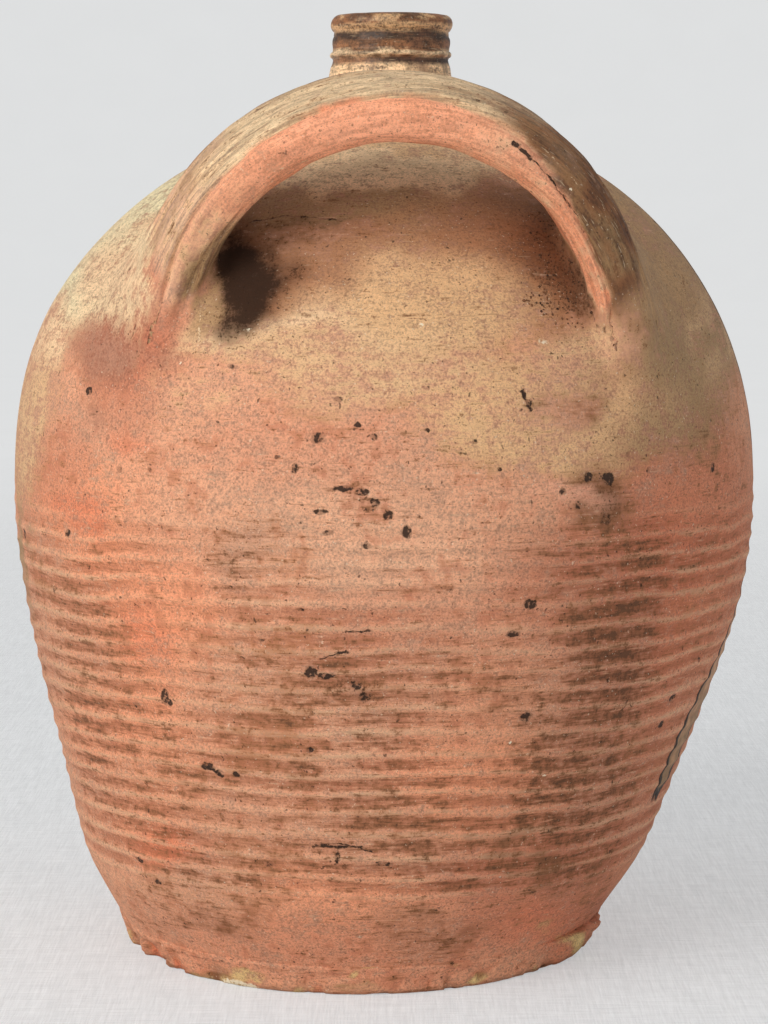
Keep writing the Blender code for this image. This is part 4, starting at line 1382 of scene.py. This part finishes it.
def firedClay(material, recipe, dark, light, darkLines, paleLines):
    material.use_nodes = True
    tree = material.node_tree
    shader = tree.nodes["Principled BSDF"]
    place = tree.nodes.new("ShaderNodeTexCoord").outputs["Object"]
    run = fieldOf(tree, "run", "Vector")
    mottle = cloudIn(tree, place, 42.0, 1, 2.0)
    patch = cloudIn(tree, place, 165.0, 2, 2.0)
    blot = cloudIn(tree, place, 430.0, 6, 2.0)
    grain = cloudIn(tree, place, 1100.0, 3, 2.0, 0.7)
    streak = cloudIn(tree, run, 560.0, 4, 2.0, 0.6)
    fineStreak = cloudIn(tree, run, 1500.0, 5, 1.0)
    film, grime, soot, gloss, valley, ribbed = (
        numberOf(tree, name) for name in ("film", "grime", "soot", "gloss", "valley", "ribbed"))
    inGlaze = numberOf(tree, "glazeInside") + patch * 5.0 + blot * 2.0
    region = cloudIn(tree, place, 15.0, 14, 1.5)
    ribbed = ribbed * (region * 2.6 + 0.72).ramp(0.0, 1.0)
    calm = 1.0 - numberOf(tree, "calm") * 0.72
    contrast, streaks = recipe["contrast"], recipe["streaks"]
    lines = (streak * 0.9 + fineStreak * 0.5) * calm

    # bare clay: mottled, with painted shade in the valleys of the finger rings and a painted highlight,
    # partly dust worn, on their crests
    shade = 1.0 + (mottle * 0.5 + patch * 0.7 + blot * 0.85 + grain * 1.7) * contrast + lines * streaks
    clay = scaled(tree, fieldOf(tree, "clayTint", "Color"), shade)
    redder = (patch * 1.6 + mottle * 1.2 + blot * 0.6).ramp(0.02, 0.40)
    clay = blend(tree, redder * 0.5, clay, shaderPaint("brick"))
    paler = (0.0 - patch * 0.9 - mottle * 0.8 - blot * 0.7 - lines * 0.6).ramp(0.0, 0.50)
    clay = blend(tree, paler * 0.34, clay, shaderPaint("paleSalmon"))
    valleyShade = (valley + lines * 1.3 + patch * 1.1 + blot * 0.7).ramp(0.30, 0.95)
    clay = blend(tree, valleyShade * ribbed * 0.52, clay, shaderPaint("deepRust"))
    crestDustAndHighlight = (0.62 - valley + lines * 1.2 + patch * 1.1 + mottle * 0.6 + blot * 0.6).ramp(0.20, 0.80)
    clay = blend(tree, crestDustAndHighlight * ribbed * 0.46, clay, shaderPaint("straw"))

    # film of slip, ash and old dirt, with painted shade in the ring valleys
    thin = mottle * 1.0 + patch * 1.1 + lines * (0.6 + streaks * 0.6)
    thin = thin + (blot * 1.0 + grain * 0.9) * (film.ramp(0.15, 0.65) * 0.75 + 0.25)
    covered = (film + thin).ramp(0.14, 0.92) * 0.88
    filmShade = 1.0 + (mottle * 0.5 + patch * 0.8 + blot * 0.9 + grain * 1.9) * contrast
    filmShade = filmShade + lines * streaks * 1.5
    color = blend(tree, covered, clay, scaled(tree, fieldOf(tree, "filmTint", "Color"), filmShade))
    # umber and bistre dirt, deepened in the ring valleys with painted shade
    worn = valley * ribbed * (grime * 1.0 + 0.16) + grime * 0.82 + mottle * 0.25
    dirtAndShade = worn + lines * 1.9 + patch * 1.0 + blot * 1.5 + grain * 1.9
    color = blend(tree, dirtAndShade.ramp(0.38, 0.98) * 0.70, color, shaderPaint("umber"))
    color = blend(tree, dirtAndShade.ramp(0.95, 1.40) * 0.62, color, shaderPaint("bistre"))
    hairs = (fineStreak * calm + streak * 0.4 + grime * 0.10).ramp(0.16, 0.30)
    color = blend(tree, hairs * 0.40 * (0.4 + streaks * 0.6), color, shaderPaint("umber"))
    paleHairs = (0.0 - fineStreak * calm - streak * 0.4).ramp(0.17, 0.30)
    color = blend(tree, paleHairs * 0.30 * (0.3 + streaks * 0.7), color, shaderPaint("straw"))

    # specks and pores
    pores = (grain + blot * 0.5).ramp(0.12, 0.25)
    color = blend(tree, pores * (0.44 * recipe["specks"]), color, shaderPaint("umber"))
    dots = (cloudIn(tree, place, 620.0, 8, 1.0) + patch * 0.25 + grime * 0.03).ramp(0.235, 0.275)
    color = blend(tree, dots * (0.7 * recipe["specks"]), color, shaderPaint("soot"))
    flakes = (cloudIn(tree, place, 1000.0, 9, 1.0) - patch * 0.15).ramp(0.20, 0.27)
    color = blend(tree, flakes * (0.42 * recipe["specks"]), color, shaderPaint("cream"))
    # soot, and painted shade in the corner inside the left root
    sootAndShade = (soot * 1.2 + patch * 0.5 + blot * 0.9 + grain * 1.3).ramp(0.20, 1.30)
    color = blend(tree, sootAndShade * 0.95, color, shaderPaint("soot"))

    color, glaze, depth = glazeOver(tree, place, color, inGlaze, patch, blot, grain)
    warped = crumpled(tree, place)
    color, dent = marksOver(tree, color, blot, grain, (
        (spotMask(tree, warped, light), "cream", False),
        (lineMask(tree, warped, paleLines), "straw", False),
        (spotMask(tree, warped, dark), "soot", True),
        # cracks, and painted shade along the strap's crease
        (lineMask(tree, warped, darkLines), "soot", True),
    ))

    height = grain * recipe["grain"] + lines * recipe["groove"] + blot * 0.10 - dots * 0.12
    height = height + inGlaze.ramp(-0.4, 1.2) * depth.ramp(0.0, 0.5) * 0.4
    if dent is not None:
        height = height - dent * 0.4
    bump = addNode(tree, "ShaderNodeBump", Height=height, Strength=1.0, Distance=0.001)
    rough = recipe["roughness"] + sootAndShade * 0.3 - covered * 0.06 + grain * 0.4 - gloss * 0.30 - glaze * 0.22
    if dent is not None:
        rough = rough - dent * 0.1
    plug(tree, shader.inputs["Base Color"], color)
    plug(tree, shader.inputs["Roughness"], rough.most(0.18).least(1.0))
    plug(tree, shader.inputs["Normal"], bump.outputs[0])
    shader.inputs["Specular IOR Level"].default_value = 0.32


# Burnt crust: loose grains that stuck in the sooty corner behind the right root.
crustShape = {
    "places": ((560, 276, 30, 50, 1.0), (572, 250, 18, 34, 0.8), (552, 236, 26, 26, 0.5)),
    "spacing": 0.00065,
    "density": 900000.0,
    "smallest": 0.00022,
    "largest": 0.00062,
    "seed": 7,
}


def crustTree():
    tree, given = startTree("burntGrains", {
        "Spacing": ("Float", 0.001),
        "Density": ("Float", 1000.0),
        "Smallest": ("Float", 0.0002),
        "Largest": ("Float", 0.0006),
        "Seed": ("Int", 0),
        "Clay": ("Material", None),
    })
    crust = addNode(tree, "GeometryNodeInputNamedAttribute", {"data_type": "FLOAT"}, Name="crust")
    spread = addNode(tree, "GeometryNodeDistributePointsOnFaces", {"distribute_method": "POISSON"},
                     Mesh=given["Geometry"], Distance_Min=given["Spacing"], Density_Max=given["Density"],
                     Density_Factor=crust.outputs[0], Seed=given["Seed"])
    ball = addNode(tree, "GeometryNodeMeshIcoSphere", Radius=1.0, Subdivisions=1)
    sizes = addNode(tree, "FunctionNodeRandomValue", {"data_type": "FLOAT"})
    across = addNode(tree, "FunctionNodeRandomValue", {"data_type": "FLOAT_VECTOR"})
    plug(tree, sizes.inputs[2], given["Smallest"])
    plug(tree, sizes.inputs[3], given["Largest"])
    plug(tree, across.inputs[0], (0.7, 0.7, 0.5))
    plug(tree, across.inputs[1], (1.3, 1.3, 0.9))
    scale = addNode(tree, "ShaderNodeVectorMath", {"operation": "SCALE"}, Vector=across.outputs[0],
                    Scale=sizes.outputs[1]).outputs[0]
    grains = addNode(tree, "GeometryNodeInstanceOnPoints", Points=spread.outputs["Points"],
                     Instance=ball.outputs["Mesh"], Rotation=spread.outputs["Rotation"], Scale=scale)
    endTree(tree, grains.outputs[0], given["Clay"])
    return tree


def makeCrust(wall, clay):
    source = wall.data.copy()
    points, normals = readPoints(source), readNormals(source)
    u, v = toPixels(points)
    wave = cloudy(points, 0.006, 91)
    amount = amountAt(u + wave[:, 0] * 16, v + wave[:, 1] * 20, crustShape["places"])
    facing = (normals * (np.array(viewpoint["place"]) - points)).sum(axis=1) > 0
    height = (points[:, 2] > 0.24) & (points[:, 1] < -0.05) & (points[:, 0] > 0.02)
    writeField(source, "crust", amount * facing * height)
    crust = grow("rootCrust", crustTree(), {
        **named(crustShape),
        "Clay": clay,
    }, source)
    faceOutwards(crust)
    print("burnt crust:", len(crust.data.polygons), "faces")
    return crust


def crustClay(material):
    material.use_nodes = True
    tree = material.node_tree
    shader = tree.nodes["Principled BSDF"]
    place = tree.nodes.new("ShaderNodeTexCoord").outputs["Object"]
    patch = cloudIn(tree, place, 420.0, 3, 2.0)
    color = blend(tree, (patch + 0.12).ramp(-0.1, 0.2), shaderPaint("soot"), shaderPaint("umber"))
    color = blend(tree, cloudIn(tree, place, 800.0, 5, 1.0).ramp(0.14, 0.28), color, shaderPaint("brown"))
    height = cloudIn(tree, place, 3000.0, 9) * 0.2
    bump = addNode(tree, "ShaderNodeBump", Height=height, Strength=1.0, Distance=0.001)
    plug(tree, shader.inputs["Base Color"], color)
    plug(tree, shader.inputs["Normal"], bump.outputs[0])
    shader.inputs["Roughness"].default_value = 0.9


def keepInside(piece):  # nothing stands out past the CAD model
    low, high = (np.array(corner) for corner in cadBox)
    writePoints(piece.data, np.clip(readPoints(piece.data), low, high))


# Studio: a round linen sheet that curves up far away, a soft light on the left and a weak one on the right.
studio = {
    "linen": (0.900, 0.910, 0.915),
    "pale": 0.815,  # how pale the sheet looks by itself: half of that near the pot, all of it far away
    "thread": 0.0011,
    "floorRadius": 4.0, "arc": 1.6, "top": 5.0, "sheetSides": 96,
    "aim": (0.0, 0.0, 0.15),  # the lights look at the pot's middle
    "world": (0.88, 0.90, 0.93), "worldStrength": 0.50,
    "lights": {
        "keyLight": ((-1.15, -1.25, 1.25), 1.3, 27.0, (1.0, 0.985, 0.96)),
        "fillLight": ((1.5, -1.4, 0.7), 1.5, 5.0, (1.0, 1.0, 1.0)),
    },
}


def linenCloth():
    material = bpy.data.materials.new("linenSheet")
    material.use_nodes = True
    tree = material.node_tree
    shader = tree.nodes["Principled BSDF"]
    place = tree.nodes.new("ShaderNodeTexCoord").outputs["Object"]
    axes = addNode(tree, "ShaderNodeSeparateXYZ", Vector=place)
    turns = math.tau / studio["thread"]
    wander = cloudIn(tree, place, 90.0, 2) * 0.0016
    warp = ((Wire(tree, axes.outputs[0]) + wander) * turns).sin()
    weft = ((Wire(tree, axes.outputs[1]) + Wire(tree, axes.outputs[2]) + wander) * turns).sin()
    slub = cloudIn(tree, place, (60.0, 1500.0, 1500.0), 4) + cloudIn(tree, place, (1500.0, 60.0, 60.0), 5)
    far = lengthOf(tree, place).ramp(0.35, 2.2)
    weaveAndPaintedLight = (warp * weft * 0.26 + slub * 0.30) * (1.0 - far * 0.9)
    # painted light: the sheet is paler near the pot, lifting the floor's shade there
    weaveAndPaintedLight = weaveAndPaintedLight + cloudIn(tree, place, 9.0, 6) * 0.03 + 0.055 * (1.0 - far)
    linenAndPaintedLight = scaled(tree, studio["linen"], 1.0 + weaveAndPaintedLight)
    plug(tree, shader.inputs["Base Color"], linenAndPaintedLight)
    bump = addNode(tree, "ShaderNodeBump", Height=weaveAndPaintedLight * 1.6, Strength=0.5, Distance=0.001)
    plug(tree, shader.inputs["Normal"], bump.outputs[0])
    shader.inputs["Roughness"].default_value = 0.95
    shader.inputs["Specular IOR Level"].default_value = 0.1
    glow = addNode(tree, "ShaderNodeEmission", Color=scaled(tree, linenAndPaintedLight, studio["pale"]), Strength=1.0)
    seen = Wire(tree, tree.nodes.new("ShaderNodeLightPath").outputs["Is Camera Ray"])
    mixed = tree.nodes.new("ShaderNodeMixShader")
    plug(tree, mixed.inputs[0], seen * (far * 0.5 + 0.5))
    plug(tree, mixed.inputs[1], shader.outputs[0])
    plug(tree, mixed.inputs[2], glow.outputs[0])
    tree.links.new(mixed.outputs[0], tree.nodes["Material Output"].inputs["Surface"])
    return material


def ringSheet(name, profile, material):  # a sheet that goes all round the pot
    count = studio["sheetSides"]
    turns = [math.tau * step / count for step in range(count)]
    corners = [(radius * math.cos(turn), radius * math.sin(turn), height)
               for radius, height in profile for turn in turns]
    faces = [(row * count + step, row * count + (step + 1) % count, (row + 1) * count + (step + 1) % count,
              (row + 1) * count + step) for row in range(len(profile) - 1) for step in range(count)]
    mesh = bpy.data.meshes.new(name)
    mesh.from_pydata(corners, [], faces)
    mesh.materials.append(material)
    sheet = bpy.data.objects.new(name, mesh)
    bpy.context.scene.collection.objects.link(sheet)
    sheet.data.shade_smooth()
    return sheet


def makeStudio():
    linen = linenCloth()
    reach, arcRadius = studio["floorRadius"], studio["arc"]
    ringSheet("linenFloor", [(0.001, 0.0), (0.5, 0.0), (1.5, 0.0), (reach, 0.0)], linen)
    bend = [(reach + arcRadius * math.sin(turn), arcRadius - arcRadius * math.cos(turn))
            for turn in (math.pi / 2 * step / 16 for step in range(17))]
    backdrop = ringSheet("linenBackdrop", bend + [(reach + arcRadius, studio["top"])], linen)
    backdrop.visible_diffuse = backdrop.visible_shadow = False  # it doesn't shut out the room's light
    for name, (location, size, power, color) in studio["lights"].items():
        data = bpy.data.lights.new(name, "AREA")
        data.size, data.energy, data.color = size, power, color
        light = bpy.data.objects.new(name, data)
        light.location = location
        light.rotation_euler = (Vector(studio["aim"]) - Vector(location)).to_track_quat("-Z", "Y").to_euler()
        bpy.context.scene.collection.objects.link(light)
    world = bpy.data.worlds.new("studioAir")
    world.use_nodes = True
    world.node_tree.nodes["Background"].inputs["Color"].default_value = (*studio["world"], 1.0)
    world.node_tree.nodes["Background"].inputs["Strength"].default_value = studio["worldStrength"]
    bpy.context.scene.world = world
    bpy.context.scene.view_settings.view_transform = "Standard"
    print("studio set up")


def main():
    clays = {name: bpy.data.materials.new(name + "Clay") for name in (*clayRecipes, "crust")}
    makeCamera()
    turning = turningTree()
    wall, foot = makeWall(turning, clays["wall"]), makeFoot(turning, clays["foot"])
    neck, strap = makeNeck(turning, clays["neck"]), makeStrap(clays["strap"])
    wallNear, strapNear = blendRoots(wall, strap)
    dressWall(wall, wallNear)
    dressFoot(foot)
    dressNeck(neck)
    dressStrap(strap, strapNear)
    crust = makeCrust(wall, clays["crust"])
    pieces = {"wall": wall, "foot": foot, "neck": neck, "strap": strap}
    dark, light = findMarks(pieces, scars), findMarks(pieces, limeSpots)
    darkLines, paleLines = findLines(pieces, cracksAndCreaseShade), findLines(pieces, lightLines)
    for name, recipe in clayRecipes.items():
        firedClay(clays[name], recipe, dark[name], light[name], darkLines[name], paleLines[name])
    crustClay(clays["crust"])
    print("clay fired")
    for piece, slot, nodes in (
        (wall, "ribbed_clay", ("lower_body", "upper_body")),
        (foot, "foot_clay", ("base_disc",)),
        (neck, "neck_clay", ("neck",)),
        (strap, "handle_clay", ("handle", "left_handle_pad", "right_handle_pad")),
        (crust, "shoulder_clay", ()),
    ):
        keepInside(piece)
        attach(piece, "root")
        if nodes:
            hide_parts(*nodes)
    makeStudio()


main()
